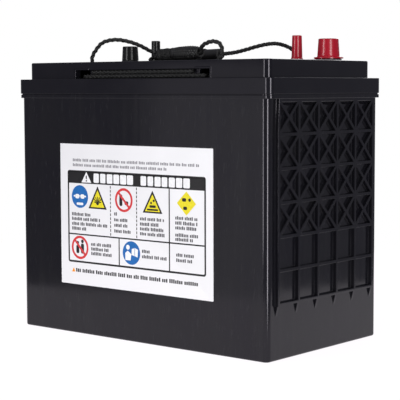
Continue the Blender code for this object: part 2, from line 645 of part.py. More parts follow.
def build_handle(row, start, heading, stretches, turn):
    """A rope handle: grip on its rope, two free stretches, and the stretch held in the lid's slot.

    start is the middle of the sleeve's end, heading runs from there along the grip."""
    axis = bpy.data.objects.new(f"{row}_grip_axis", None)
    axis.matrix_world = Matrix.LocRotScale(start, heading.to_track_quat("Z", "Y"), None)
    parts.objects.link(axis)
    bpy.context.view_layer.update()

    grip = turned(f"{row}_grip", grip_profile(), GRIP_PLASTIC, sides=16)
    grip.parent = axis
    (near, _), (far, _) = grip_ends(start, heading)
    rope(f"{row}_rope_core", [near.lerp(far, k / 6) for k in range(7)])

    for name, (route, end) in stretches.items():
        rope(f"{row}_rope_{name}", free_stretch(route, end))

    # The rope drops through both holes and lies in the slot; its overlapping tail lies above it.
    floor = SLOT_BOTTOM + GAP + ROPE / 2
    above = SLOT_TOP - GAP - ROPE / 2
    lie = DECK_FACE_Y - SLOT_DEPTH + GAP + ROPE / 2
    one_end = [(-HOLE_X, -HOLE_Y, DECK_TOP - 0.0016), (-HOLE_X, -HOLE_Y, floor + 0.0045),
               (-HOLE_X + 0.0008, -HOLE_Y - 0.0075, floor + 0.0003), (-HOLE_X + 0.0055, -lie + 0.0012, floor),
               (-HOLE_X + 0.0130, -lie, floor), (-0.0450, -lie, floor), (0.0, -lie, floor)]
    other_end = [(-x, y, z) for x, y, z in reversed(one_end[:-1])]
    held = [turn @ Vector(p) for p in smooth_points(one_end + other_end, 2.0 * ROPE)]
    rope(f"{row}_rope_held", held)
    tail = [turn @ Vector((-0.0660 + 0.1320 * k / 8, -lie, above)) for k in range(9)]
    rope(f"{row}_rope_tail", tail)


def build_handles():
    here = Matrix.Identity(4)
    half_turn = Matrix.Rotation(math.pi, 4, "Z")
    knot_centre = FRONT_GRIP_START - FRONT_GRIP_HEADING * (CORE_REACH + GAP + KNOT_RADIUS)
    _, front_far = grip_ends(FRONT_GRIP_START, FRONT_GRIP_HEADING)
    front_first = [(-HOLE_X, -HOLE_Y, DECK_TOP - 0.0010), (-0.0829, -0.0642, 0.2795),
                   (-0.0800, -0.0635, 0.2855), (-0.0714, -0.0610, 0.2945), (-0.0594, -0.0560, 0.2975),
                   (-0.0490, -0.0485, 0.2960), (-0.0415, -0.0385, 0.2920)]
    onto_knot = (Vector(front_first[-1]) - knot_centre).normalized()
    front_second = [(HOLE_X, -HOLE_Y, DECK_TOP - 0.0010), (0.0856, -0.0642, 0.2773), (0.0873, -0.0640, 0.2838),
                    (0.0833, -0.0630, 0.2905), (0.0730, -0.0623, 0.2925), (0.0609, -0.0612, 0.2887)]
    build_handle("front", FRONT_GRIP_START, FRONT_GRIP_HEADING,
                 {"first": (front_first, (knot_centre + onto_knot * KNOT_RADIUS, onto_knot)),
                  "second": (front_second, front_far)}, here)

    rear_near, rear_far = grip_ends(REAR_GRIP_START, REAR_GRIP_HEADING)
    rear_first = [(HOLE_X, HOLE_Y, DECK_TOP - 0.0010), (0.0820, 0.0642, 0.2795), (0.0770, 0.0641, 0.2860),
                  (0.0690, 0.0635, 0.2905), (0.0600, 0.0590, 0.2934), (0.0530, 0.0520, 0.2930),
                  (0.0475, 0.0410, 0.2905), (0.0440, 0.0270, 0.2870), (0.0415, 0.0120, 0.2840)]
    rear_second = [(-HOLE_X, HOLE_Y, DECK_TOP - 0.0010), (-0.0845, 0.0642, 0.2785), (-0.0860, 0.0632, 0.2835),
                   (-0.0820, 0.0600, 0.2872), (-0.0740, 0.0545, 0.2880), (-0.0650, 0.0460, 0.2860)]
    build_handle("rear", REAR_GRIP_START, REAR_GRIP_HEADING,
                 {"first": (rear_first, rear_near), "second": (rear_second, rear_far)}, half_turn)

    # cord wound round the sleeve of the front grip
    inner = SLEEVE_RADIUS + GAP
    start, end = 0.0015, SLEEVE_LENGTH - 0.0012
    profile = [(inner, end), (WINDING_RADIUS - 0.0006, end), (WINDING_RADIUS, end - 0.0010),
               (WINDING_RADIUS, start + 0.0010), (WINDING_RADIUS - 0.0006, start), (inner, start)]
    winding = turned("front_grip_winding", profile, BRAID, sides=16)
    winding.parent = bpy.data.objects["front_grip_axis"]

    # the knot that stops the front rope beside its grip
    bm = bmesh.new()
    bmesh.ops.create_uvsphere(bm, u_segments=14, v_segments=9, radius=KNOT_RADIUS)
    knot = place("front_rope_knot", mesh_from(bm, "front_rope_knot"), BRAID)
    knot.location = knot_centre
    for face in knot.data.polygons:
        face.use_smooth = True


# ---------------------------------------------------------------- label
def build_label():
    half_x, half_z = LABEL_SIZE[0] / 2, LABEL_SIZE[1] / 2
    label = rounded_block("front_label", 2 * half_x, 2 * half_z, 0.0, LABEL_THICKNESS, LABEL_CORNER, 2)
    sheet = place("front_label", label, LABEL_STOCK)
    sheet.location = (LABEL_CENTRE[0], -CASE_WIDTH / 2 - 0.00015, LABEL_CENTRE[1])
    sheet.rotation_euler = (math.pi / 2, 0.0, 0.0)


POSITIVE_POST = {"top": 0.00985, "bottom": 0.0110, "wall": 0.0012, "z": 0.2964, "rim": 0.01435,
                 "rim_height": 0.0015}
NEGATIVE_POST = {"top": 0.0084, "bottom": 0.0093, "wall": 0.0012, "z": 0.2945, "rim_height": 0.0012}
POSITIVE_STUD = {"top": 0.0048, "bottom": 0.0055, "z": 0.3006}
NEGATIVE_STUD = {"top": 0.0047, "bottom": 0.0049, "z": 0.2996}

build_case()
build_lid()
build_cells()
build_terminal("positive", 1, 0.2942, POSITIVE_POST)
build_terminal("negative", -1, 0.2924, NEGATIVE_POST)
build_caps("positive", 1, RED_CAP, POSITIVE_POST, POSITIVE_STUD)
build_caps("negative", -1, BLACK_CAP, NEGATIVE_POST, NEGATIVE_STUD)
build_label()
build_handles()

for piece in parts.objects:
    if piece.type == "MESH" and piece.name in ("case", "lid"):
        piece.data.set_sharp_from_angle(angle=math.radians(35))
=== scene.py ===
"""Looks of the deep cycle battery: moulded case and lid, capped terminals, printed label, rope handles.

Everything is in metres in the CAD frame: +Z up, the label faces -Y, the positive end is at +X.
"""

import math
import random

import bmesh
import bpy
from mathutils import Matrix, Vector


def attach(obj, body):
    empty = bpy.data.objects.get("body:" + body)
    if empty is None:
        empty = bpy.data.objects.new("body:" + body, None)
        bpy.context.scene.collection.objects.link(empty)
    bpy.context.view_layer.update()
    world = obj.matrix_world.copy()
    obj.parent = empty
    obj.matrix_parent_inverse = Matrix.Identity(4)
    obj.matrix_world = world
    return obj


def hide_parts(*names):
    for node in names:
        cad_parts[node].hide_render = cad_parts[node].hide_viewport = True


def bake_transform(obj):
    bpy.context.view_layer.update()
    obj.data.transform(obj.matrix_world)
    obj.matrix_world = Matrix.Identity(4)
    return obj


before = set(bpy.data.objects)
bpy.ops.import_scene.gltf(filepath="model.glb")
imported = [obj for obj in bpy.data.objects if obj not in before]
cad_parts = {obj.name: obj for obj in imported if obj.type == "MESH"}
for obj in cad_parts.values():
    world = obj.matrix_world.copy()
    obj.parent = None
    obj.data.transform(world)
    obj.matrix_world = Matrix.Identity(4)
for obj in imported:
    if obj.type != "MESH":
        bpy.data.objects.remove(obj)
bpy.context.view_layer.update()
MM = 0.001

# ---------------- dimensions shared with the CAD source
CASE_LENGTH = 0.3212
CASE_WIDTH = 0.1808
CASE_TOP = 0.243
CASE_CORNER = 0.0055
CASE_WALL = 0.0032
CASE_FLOOR = 0.0035
PARTITION = 0.002
CELLS = 6
LIP_LENGTH = 0.329
LIP_WIDTH = 0.1816
LIP_BOTTOM = 0.2388
LIP_TOP = 0.2423
FLANGE_BOTTOM = 0.2433
LIP_CORNER = 0.006

RIB_PITCH = 0.0309
RIB_WIDTH = 0.003
RIB_HEIGHT = 0.0036
RIB_COLUMNS = 5
RIB_ROWS = 6
PLAIN_ROWS = 2
LOWEST_BAR = 0.0522
RIB_RUNOUT = 0.011
TOP_SLOPE = 0.003

DECK_TOP = 0.275
DECK_FACE_Y = 0.08305
SLOT_BOTTOM = 0.2583
SLOT_TOP = 0.2668
SLOT_DEPTH = 0.0046

GAP = 0.0003
ROPE = 0.0038
HOLE_X = 0.083
HOLE_Y = 0.0642
GRIP_LENGTH = 0.085
GRIP_AXIS_Z = 0.2825
GRIP_BORE = 0.0024
FRONT_GRIP_START = Vector((-0.025, -0.024, GRIP_AXIS_Z))
REAR_GRIP_START = Vector((0.03, 0.004, GRIP_AXIS_Z))
FRONT_GRIP_HEADING = Vector((0.079, -0.032, 0.0)).normalized()
REAR_GRIP_HEADING = -FRONT_GRIP_HEADING
CORE_REACH = 0.0015
SQUARE_END = 0.0012
KNOT_RADIUS = 0.0062
SLEEVE_RADIUS = 0.0049
SLEEVE_LENGTH = 0.033

TERMINAL_Y = 0.0457
POST_X = 0.1322
STUD_X = 0.0943
PAD_TOP = 0.2766
STUD_RADIUS = 0.0037
STUD_BOTTOM = 0.2693
STUD_TOP = 0.2982


# ---------------- camera
CAMERA_AT = Vector((0.88294, -1.04487, 0.24942))
CAMERA_TURN = math.radians(40.008)
CAMERA_DROP = math.radians(4.809)
CAMERA_ROLL = math.radians(-0.181)
CAMERA_LENS = 120.58

camera_data = bpy.data.cameras.new("camera")
camera_data.lens = CAMERA_LENS
camera_data.sensor_width = 36.0
camera = bpy.data.objects.new("camera", camera_data)
camera.matrix_world = (Matrix.Translation(CAMERA_AT) @ Matrix.Rotation(CAMERA_TURN, 4, "Z")
                       @ Matrix.Rotation(math.pi / 2 - CAMERA_DROP, 4, "X")
                       @ Matrix.Rotation(CAMERA_ROLL, 4, "Z"))
bpy.context.scene.collection.objects.link(camera)
bpy.context.scene.camera = camera
bpy.context.scene.view_settings.view_transform = "Standard"


# ---------------- materials
def srgb(red, green, blue):
    """A linear colour from the usual 0 to 255 values."""
    linear = []
    for value in (red, green, blue):
        share = value / 255
        linear.append(share / 12.92 if value <= 10 else ((share + 0.055) / 1.055) ** 2.4)
    return tuple(linear)


def noise_of(tree, place, layer):
    """The noise of a layer, with its own scale along each axis."""
    stretch = tree.nodes.new("ShaderNodeMapping")
    stretch.inputs["Scale"].default_value = layer["scale"]
    tree.links.new(place.outputs["Object"], stretch.inputs["Vector"])
    noise = tree.nodes.new("ShaderNodeTexNoise")
    noise.inputs["Scale"].default_value = 1.0
    noise.inputs["Detail"].default_value = layer.get("detail", 3.0)
    tree.links.new(stretch.outputs["Vector"], noise.inputs["Vector"])
    return noise.outputs["Fac"]


def ranged(tree, noise, layer, low, high):
    """The noise inside the layer's window, taken to the values from low to high."""
    share = tree.nodes.new("ShaderNodeMapRange")
    window = layer.get("window", (0.35, 0.65))
    share.inputs["From Min"].default_value = window[0]
    share.inputs["From Max"].default_value = window[1]
    share.inputs["To Min"].default_value = low
    share.inputs["To Max"].default_value = high
    tree.links.new(noise, share.inputs["Value"])
    return share.outputs["Result"]


def shifted_tint(tree, noise, layer, tint, colour):
    """The tint so far, or the plain colour at first, shifted towards the layer's colour."""
    mix = tree.nodes.new("ShaderNodeMix")
    mix.data_type = "RGBA"
    tree.links.new(ranged(tree, noise, layer, 0.0, layer.get("share", 1.0)), mix.inputs["Factor"])
    if tint is None:
        mix.inputs["A"].default_value = (*colour, 1.0)
    else:
        tree.links.new(tint, mix.inputs["A"])
    mix.inputs["B"].default_value = (*layer["colour"], 1.0)
    return mix.outputs["Result"]


def spread_grain(tree, noise, layer, grain, roughness):
    """The roughness so far, or its middle value at first, spread by the layer's noise."""
    middle = 0.0 if grain else roughness
    spread = ranged(tree, noise, layer, middle - layer["spread"], middle + layer["spread"])
    if grain is None:
        return spread
    total = tree.nodes.new("ShaderNodeMath")
    tree.links.new(grain, total.inputs[0])
    tree.links.new(spread, total.inputs[1])
    return total.outputs["Value"]


def raised_normal(tree, noise, layer, normal):
    """The normal so far, with the layer's relief added."""
    bump = tree.nodes.new("ShaderNodeBump")
    bump.inputs["Distance"].default_value = layer["height"]
    tree.links.new(noise, bump.inputs["Height"])
    if normal:
        tree.links.new(normal, bump.inputs["Normal"])
    return bump.outputs["Normal"]


def principled(name, settings):
    """A new material, with the sockets of its shader set by name."""
    made = bpy.data.materials.new(name)
    made.use_nodes = True
    for socket, value in settings.items():
        made.node_tree.nodes["Principled BSDF"].inputs[socket].default_value = value
    return made


def look(name, colour, roughness, metallic=0.0, sheen=0.0, specular=0.5, gloss=(1.0, 1.0, 1.0), layers=()):
    """A Principled material with layers of noise in the part's own frame.

    Each layer has a scale for each axis, and may shift the colour towards another one, spread the
    roughness about its middle value, and raise the surface by a height in metres."""
    made = principled(name, {
        "Base Color": (*colour, 1.0), "Roughness": roughness, "Metallic": metallic,
        "Specular IOR Level": specular, "Specular Tint": (*gloss, 1.0),
        "Sheen Weight": sheen, "Sheen Roughness": 0.4})
    tree = made.node_tree
    place = tree.nodes.new("ShaderNodeTexCoord")
    tint = None
    grain = None
    normal = None
    for layer in layers:
        noise = noise_of(tree, place, layer)
        if "colour" in layer:
            tint = shifted_tint(tree, noise, layer, tint, colour)
        if "spread" in layer:
            grain = spread_grain(tree, noise, layer, grain, roughness)
        if "height" in layer:
            normal = raised_normal(tree, noise, layer, normal)
    for output, socket in ((tint, "Base Color"), (grain, "Roughness"), (normal, "Normal")):
        if output:
            tree.links.new(output, tree.nodes["Principled BSDF"].inputs[socket])
    return made


def even(scale, **rest):
    """A noise layer with the same scale along every axis."""
    return {"scale": (scale, scale, scale), **rest}


def drawn(across, along, **rest):
    """A noise layer that is drawn out along the upright axis."""
    return {"scale": (across, across, along), **rest}


MOULDED = (0.0062, 0.006, 0.0084)
VIOLET_GLOSS = (0.96, 0.91, 1.0)
CASE_PLASTIC = look("moulded_case", MOULDED, 0.125, specular=0.3, gloss=VIOLET_GLOSS, layers=(
    drawn(150.0, 7.0, colour=(0.0112, 0.0111, 0.0128), window=(0.48, 0.8), share=0.7, spread=0.02,
          detail=4.0),
    drawn(700.0, 90.0, colour=(0.03, 0.03, 0.0325), window=(0.6, 0.82), share=0.6),
    even(26.0, colour=(0.0072, 0.0071, 0.0082), share=0.6, spread=0.02),
    even(1500.0, height=0.000003, detail=2.0)))
LID_PLASTIC = look("moulded_lid", MOULDED, 0.12, specular=0.26, gloss=VIOLET_GLOSS, layers=(
    even(45.0, colour=(0.0078, 0.0077, 0.01), share=0.6, spread=0.02, detail=5.0),
    even(1700.0, height=0.000003, detail=2.0)))
VENT_PLASTIC = look("moulded_vent_cover", (0.0066, 0.0066, 0.0074), 0.3, specular=0.35, layers=(
    even(60.0, colour=(0.01, 0.01, 0.0112), share=0.6, spread=0.04),
    even(1900.0, height=0.00004, detail=2.0)))
RUBBER = look("rubber", (0.01, 0.01, 0.01), 0.7, layers=(
    even(500.0, colour=(0.02, 0.02, 0.02), spread=0.08, height=0.00003),))
GRIP_PLASTIC = look("grip_plastic", (0.0062, 0.0061, 0.006), 0.42, specular=0.4, layers=(
    even(220.0, colour=(0.011, 0.0108, 0.0102), share=0.7, spread=0.07),
    even(2200.0, height=0.00005, detail=2.0)))
BRAID = look("rope_braid", (0.004, 0.004, 0.004), 0.55, specular=0.32, sheen=0.03, layers=(
    even(900.0, colour=(0.011, 0.0108, 0.0105), share=0.8, spread=0.1, detail=5.0),
    drawn(2600.0, 900.0, height=0.00008)))
RED_CAP = look("red_vinyl", (0.38, 0.005, 0.018), 0.25, specular=0.38, layers=(
    drawn(260.0, 18.0, colour=(0.32, 0.004, 0.014), share=0.55, spread=0.05),
    even(1300.0, height=0.000006)))
BLACK_CAP = look("black_vinyl", (0.0075, 0.0075, 0.0075), 0.24, specular=0.19, layers=(
    drawn(260.0, 18.0, colour=(0.011, 0.011, 0.0108), share=0.7, spread=0.05),
    even(1300.0, height=0.000006)))
LEAD = look("cast_lead", (0.085, 0.088, 0.095), 0.6, metallic=0.55, layers=(
    even(260.0, colour=(0.045, 0.047, 0.052), share=0.8, spread=0.12, height=0.00012, detail=6.0),
    even(60.0, colour=(0.13, 0.13, 0.132), share=0.5)))
STEEL = look("plated_steel", (0.56, 0.57, 0.59), 0.26, metallic=1.0, layers=(
    drawn(300.0, 60.0, colour=(0.44, 0.45, 0.47), spread=0.08),))
PAPER = look("label_stock", (0.735, 0.73, 0.745), 0.42, specular=0.3, layers=(
    even(35.0, colour=(0.71, 0.705, 0.72), share=0.5, spread=0.05),
    even(900.0, height=0.00002)))
POSITIVE_PASTE = look("lead_dioxide_plates", (0.085, 0.032, 0.018), 0.85, layers=(
    even(320.0, colour=(0.15, 0.07, 0.04), height=0.0002, detail=6.0),))
NEGATIVE_PASTE = look("spongy_lead_plates", (0.15, 0.16, 0.17), 0.8, layers=(
    even(320.0, colour=(0.25, 0.26, 0.27), height=0.0002, detail=6.0),))
GLASS_MAT = look("glass_mat", (0.8, 0.8, 0.77), 0.92, layers=(
    {"scale": (1200.0, 300.0, 1200.0), "colour": (0.66, 0.66, 0.63), "height": 0.0002, "detail": 6.0},))


INKS = {"black": (0.006, 0.0055, 0.0065), "white": (0.74, 0.74, 0.75), "grey": (0.22, 0.215, 0.23),
        "dark": (0.06, 0.058, 0.064), "blue": srgb(16, 92, 160), "yellow": srgb(214, 200, 28),
        "red": srgb(194, 50, 54), "orange": srgb(224, 142, 30)}


def ink(name):
    """Printing ink: slightly uneven, as a screen print is."""
    thinner = tuple(min(1.0, 1.25 * value + 0.004) for value in INKS[name])
    return look(f"ink_{name}", INKS[name], 0.4, specular=0.3, layers=(
        even(420.0, colour=thinner, share=0.5, spread=0.06),))


# ---------------- mesh helpers
SMOOTH_ANGLE = 32.0
SAME_POINT = 2e-6
COPLANAR = math.radians(0.6)
ON_AXIS = 1e-6


def new_object(name, bm):
    """An object in the scene from a bmesh, which is freed."""
    bmesh.ops.recalc_face_normals(bm, faces=bm.faces)
    mesh = bpy.data.meshes.new(name)
    bm.to_mesh(mesh)
    bm.free()
    obj = bpy.data.objects.new(name, mesh)
    bpy.context.scene.collection.objects.link(obj)
    return obj


def finished(name, bm, surface, body, replaces=(), angle=SMOOTH_ANGLE, smooth=True):
    """A piece from a bmesh, smooth up to an angle, that rides on a body and stands for CAD nodes."""
    for face in bm.faces:
        face.smooth = smooth
    obj = new_object(name, bm)
    obj.data.materials.append(surface)
    obj.data.set_sharp_from_angle(angle=math.radians(angle))
    if body:
        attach(obj, body)
    if replaces:
        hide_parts(*replaces)
    return obj


def joined(bm, ring, following):
    """Quads between two closed rings of the same count."""
    count = len(ring)
    for i in range(count):
        j = (i + 1) % count
        bm.faces.new((ring[i], ring[j], following[j], following[i]))


def loft(bm, loops, closed=True):
    """Quads between loops of points of the same count; the ends are closed unless asked otherwise."""
    rings = [[bm.verts.new(p) for p in loop] for loop in loops]
    for ring, following in zip(rings, rings[1:]):
        joined(bm, ring, following)
    if closed:
        bm.faces.new(list(reversed(rings[0])))
        bm.faces.new(rings[-1])
    return rings


def rounded_rectangle(length, width, corner, segments=8):
    """Points of a rectangle with round corners about the origin."""
    points = []
    for quarter, (sx, sy) in enumerate(((1, 1), (-1, 1), (-1, -1), (1, -1))):
        middle = Vector((sx * (length / 2 - corner), sy * (width / 2 - corner)))
        for k in range(segments + 1):
            angle = (quarter + k / segments) * math.pi / 2
            points.append(middle + corner * Vector((math.cos(angle), math.sin(angle))))
    return points


ROUNDING_STEPS = 4


def rounding(level, radius, inwards):
    """(height, inset) pairs of a rounded edge at a level; inwards is +1 at a bottom edge, -1 at a top one."""
    pairs = []
    for k in range(ROUNDING_STEPS + 1):
        angle = k / ROUNDING_STEPS * math.pi / 2
        pairs.append((level + inwards * radius * (1 - math.cos(angle)), radius * (1 - math.sin(angle))))
    return pairs if inwards > 0 else list(reversed(pairs))


def rounded_slab(bm, length, width, corner, low, high, low_edge, high_edge):
    """A slab with round upright corners and rounded rims."""
    levels = rounding(low, low_edge, 1) + rounding(high, high_edge, -1)
    loops = []
    for z, inset in levels:
        outline = rounded_rectangle(length - 2 * inset, width - 2 * inset, max(corner - inset, 0.0003))
        loops.append([(p.x, p.y, z) for p in outline])
    return loft(bm, loops)


def carved(bm, cutter):
    """The bmesh with another one cut out of it."""
    base = new_object("carving_base", bm)
    tool = new_object("carving_tool", cutter)
    step = base.modifiers.new("cut", "BOOLEAN")
    step.operation = "DIFFERENCE"
    step.solver = "EXACT"
    step.object = tool
    bpy.context.view_layer.update()
    result = base.evaluated_get(bpy.context.evaluated_depsgraph_get()).to_mesh()
    out = bmesh.new()
    out.from_mesh(result)
    for obj in (base, tool):
        bpy.data.objects.remove(obj, do_unlink=True)
    return out


def merged(bm, other):
    """Moves everything in the other bmesh into this one."""
    mesh = bpy.data.meshes.new("merged")
    other.to_mesh(mesh)
    other.free()
    bm.from_mesh(mesh)


def block(bm, low, high):
    """A box between two corners."""
    low, high = Vector(low), Vector(high)
    bmesh.ops.create_cube(bm, size=1.0, matrix=Matrix.Translation((low + high) / 2)
                          @ Matrix.Diagonal((*(high - low), 1.0)))


def flat_shaded(obj):
    """Large flat faces keep their own normals beside rounded edges, so that they mirror as flat walls do."""
    shading = obj.modifiers.new("shading", "WEIGHTED_NORMAL")
    shading.keep_sharp = True
    shading.weight = 100
    return obj


def softened(name, surface, width):
    """A CAD node's own shape with its edges rounded, as a new piece that stands for it."""
    bm = bmesh.new()
    bm.from_mesh(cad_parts[name].data)
    bmesh.ops.remove_doubles(bm, verts=bm.verts, dist=SAME_POINT)
    bmesh.ops.dissolve_degenerate(bm, dist=SAME_POINT, edges=bm.edges)
    bmesh.ops.dissolve_limit(bm, angle_limit=COPLANAR, verts=bm.verts, edges=bm.edges)
    obj = finished(f"{name}_moulded", bm, surface, "battery", (name,))
    edge = obj.modifiers.new("edges", "BEVEL")
    edge.width = width
    edge.segments = 3
    edge.limit_method = "ANGLE"
    edge.angle_limit = math.radians(SMOOTH_ANGLE)
    edge.use_clamp_overlap = False
    edge.miter_outer = "MITER_ARC"
    return flat_shaded(obj)


def revolved(name, profile, sides, surface, body, replaces, placing, relief=None):
    """A closed (radius, height) profile turned about Z, then put in place by a matrix.

    relief(angle, height, radius) gives how far a point is raised."""
    bm = bmesh.new()
    loops = []
    for radius, height in profile:
        turn = []
        for k in range(sides):
            angle = math.tau * k / sides
            raised = radius + (relief(angle, height, radius) if relief and radius > ON_AXIS else 0.0)
            turn.append((raised * math.cos(angle), raised * math.sin(angle), height))
        loops.append(turn)
    rings = loft(bm, loops, closed=False)
    if profile[0][0] > ON_AXIS:
        joined(bm, rings[-1], rings[0])
    bmesh.ops.remove_doubles(bm, verts=bm.verts, dist=1e-7)
    bmesh.ops.transform(bm, matrix=placing, verts=bm.verts)
    return finished(name, bm, surface, body, replaces)


# ---------------- ropes
CURVE_STEPS = 24


def smooth_points(route, spacing):
    """Points at an even spacing along a Catmull-Rom curve through the route."""
    stops = [Vector(p) for p in route]
    stops = [2 * stops[0] - stops[1]] + stops + [2 * stops[-1] - stops[-2]]
    fine = []
    for a, b, c, d in zip(stops, stops[1:], stops[2:], stops[3:]):
        for step in range(CURVE_STEPS):
            t = step / CURVE_STEPS
            fine.append(0.5 * (2 * b + (c - a) * t + (2 * a - 5 * b + 4 * c - d) * t ** 2
                               + (3 * b - a - 3 * c + d) * t ** 3))
    fine.append(stops[-2])
    run = [0.0]
    for p, q in zip(fine, fine[1:]):
        run.append(run[-1] + (q - p).length)
    count = max(2, round(run[-1] / spacing) + 1)
    points = []
    i = 0
    for k in range(count):
        at = run[-1] * k / (count - 1)
        while i < len(run) - 2 and run[i + 1] < at:
            i += 1
        share = (at - run[i]) / max(run[i + 1] - run[i], 1e-9)
        points.append(fine[i].lerp(fine[i + 1], min(1.0, share)))
    return points


def over_and_under(angle, along, strands, lay):
    """Height from 0 to 1 of a round braid: two families of strands that pass over and under each other."""
    turn = strands * angle / math.tau
    first = turn + along / lay
    second = turn - along / lay
    if (math.floor(first) + math.floor(second)) % 2:
        first, second = second, first
    across = 2 * (first - math.floor(first)) - 1
    ahead = 2 * (second - math.floor(second)) - 1
    return (1 - abs(across) ** 2.4) * (1 - 0.5 * ahead ** 2)


ROPE_STRANDS = 3
ROPE_LAY = 0.0056
ROPE_SIDES = 32
RING_STEP = 0.00036
ROPE_RELIEF = 0.42
ROPE_SWELL = 1.16
ROPE_END = 0.8
ROPE_ANGLE = 60.0


def braided_tube(points, radius, bm, loop=False):
    """A braided rope along the points; a loop joins its own start, other ropes are closed with round ends."""
    line = smooth_points(points, RING_STEP)
    if loop:
        line = line[:-1]
    rings = []
    along = 0.0
    up = Vector((0.3, 0.2, 1.0))
    for i, point in enumerate(line):
        before = line[i - 1] if i else (line[-1] if loop else point)
        after = line[(i + 1) % len(line)] if loop or i < len(line) - 1 else point
        ahead = (after - before).normalized()
        up = (up - ahead * up.dot(ahead)).normalized()
        side = ahead.cross(up)
        along += (point - before).length if i else 0.0
        ring = []
        for k in range(ROPE_SIDES):
            angle = math.tau * k / ROPE_SIDES
            rise = over_and_under(angle, along, ROPE_STRANDS, ROPE_LAY)
            reach = radius * (1 - ROPE_RELIEF + ROPE_RELIEF * rise)
            ring.append(point + reach * (math.cos(angle) * up + math.sin(angle) * side))
        rings.append(ring)
    if not loop:
        for end in (0, -1):
            middle = line[end]
            rings[end] = [middle + (p - middle) * ROPE_END for p in rings[end]]
    made = loft(bm, rings, closed=not loop)
    if loop:
        joined(bm, made[-1], made[0])


def braid_piece(name, bm, body, node):
    """A braided piece that stands for one CAD node."""
    return finished(name, bm, BRAID, body, (node,), ROPE_ANGLE)


def rope_piece(node, points, body):
    """A braided rope along the points, in place of a CAD node."""
    bm = bmesh.new()
    braided_tube(points, ROPE / 2 * ROPE_SWELL, bm)
    return braid_piece(f"{node}_braided", bm, body, node)


def grip_ends(start, heading):
    """The two ends of the rope that runs through a grip, each with the outward direction."""
    finish = start + heading * GRIP_LENGTH
    return (start - heading * CORE_REACH, -heading), (finish + heading * CORE_REACH, heading)


PATH_STEP = 0.002


def free_stretch(route, end):
    """Points of a free stretch of rope: straight out of its hole, and squarely onto `end`."""
    meeting, outward = end
    out_of_hole = Vector(route[0]) + Vector((0, 0, SQUARE_END))
    square = meeting + outward * (GAP + SQUARE_END)
    middle = smooth_points([out_of_hole] + route[1:] + [square], PATH_STEP)
    return [Vector(route[0])] + middle + [meeting + outward * GAP]


knot_centre = FRONT_GRIP_START - FRONT_GRIP_HEADING * (CORE_REACH + GAP + KNOT_RADIUS)
_, front_far = grip_ends(FRONT_GRIP_START, FRONT_GRIP_HEADING)
rear_near, rear_far = grip_ends(REAR_GRIP_START, REAR_GRIP_HEADING)

FRONT_FIRST = [(-HOLE_X, -HOLE_Y, DECK_TOP - 0.001), (-0.0829, -0.0642, 0.2795), (-0.08, -0.0635, 0.2855),
               (-0.0714, -0.061, 0.2945), (-0.0594, -0.056, 0.2975), (-0.049, -0.0485, 0.296),
               (-0.0415, -0.0385, 0.292)]
FRONT_SECOND = [(HOLE_X, -HOLE_Y, DECK_TOP - 0.001), (0.0856, -0.0642, 0.2773), (0.0873, -0.064, 0.2838),
                (0.0833, -0.063, 0.2905), (0.073, -0.0623, 0.2925), (0.0609, -0.0612, 0.2887)]
REAR_FIRST = [(HOLE_X, HOLE_Y, DECK_TOP - 0.001), (0.082, 0.0642, 0.2795), (0.077, 0.0641, 0.286),
              (0.069, 0.0635, 0.2905), (0.06, 0.059, 0.2934), (0.053, 0.052, 0.293),
              (0.0475, 0.041, 0.2905), (0.044, 0.027, 0.287), (0.0415, 0.012, 0.284)]
REAR_SECOND = [(-HOLE_X, HOLE_Y, DECK_TOP - 0.001), (-0.0845, 0.0642, 0.2785), (-0.086, 0.0632, 0.2835),
               (-0.082, 0.06, 0.2872), (-0.074, 0.0545, 0.288), (-0.065, 0.046, 0.286)]
onto_knot = (Vector(FRONT_FIRST[-1]) - knot_centre).normalized()

FREE_STRETCHES = (
    ("front_rope_first", "front_handle", FRONT_FIRST, (knot_centre + onto_knot * KNOT_RADIUS, onto_knot)),
    ("front_rope_second", "front_handle", FRONT_SECOND, front_far),
    ("rear_rope_first", "rear_handle", REAR_FIRST, rear_near),
    ("rear_rope_second", "rear_handle", REAR_SECOND, rear_far),
)


KNOT_SIZE = 0.00152
KNOT_STEPS = 60
KNOT_ROPE_RADIUS = 0.0018
KNOT_TAIL_RADIUS = 0.0021
KNOT_TURN = math.radians(70)


def tied_knot():
    """The knot beside the front grip: a rope wound into a tight overhand knot, with its short cut end."""
    route = []
    for k in range(KNOT_STEPS + 1):
        t = math.tau * k / KNOT_STEPS
        route.append(KNOT_SIZE * Vector((math.sin(t) + 2 * math.sin(2 * t), math.cos(t) - 2 * math.cos(2 * t),
                                         -1.3 * math.sin(3 * t))))
    bm = bmesh.new()
    braided_tube(route, KNOT_ROPE_RADIUS, bm, loop=True)
    facing = FRONT_GRIP_HEADING.to_track_quat("X", "Z").to_matrix().to_4x4()
    bmesh.ops.transform(bm, matrix=Matrix.Translation(knot_centre) @ facing
                        @ Matrix.Rotation(KNOT_TURN, 4, "X"), verts=bm.verts)
    tail = [knot_centre + Vector(p) for p in ((0.001, 0.0, 0.001), (-0.004, 0.0004, -0.001),
                                              (-0.0085, 0.001, -0.0036), (-0.012, 0.0012, -0.005))]
    braided_tube(tail, KNOT_TAIL_RADIUS, bm)
    return braid_piece("front_knot", bm, "front_handle", "front_rope_knot")


front_knot = tied_knot()
for node, handle, route, end in FREE_STRETCHES:
    points = free_stretch(route, end)
    stretch = rope_piece(node, points, None)
    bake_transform(stretch)


HANDLES = (("front", FRONT_GRIP_START, FRONT_GRIP_HEADING, Matrix.Identity(3)),
           ("rear", REAR_GRIP_START, REAR_GRIP_HEADING, Matrix.Rotation(math.pi, 3, "Z")))


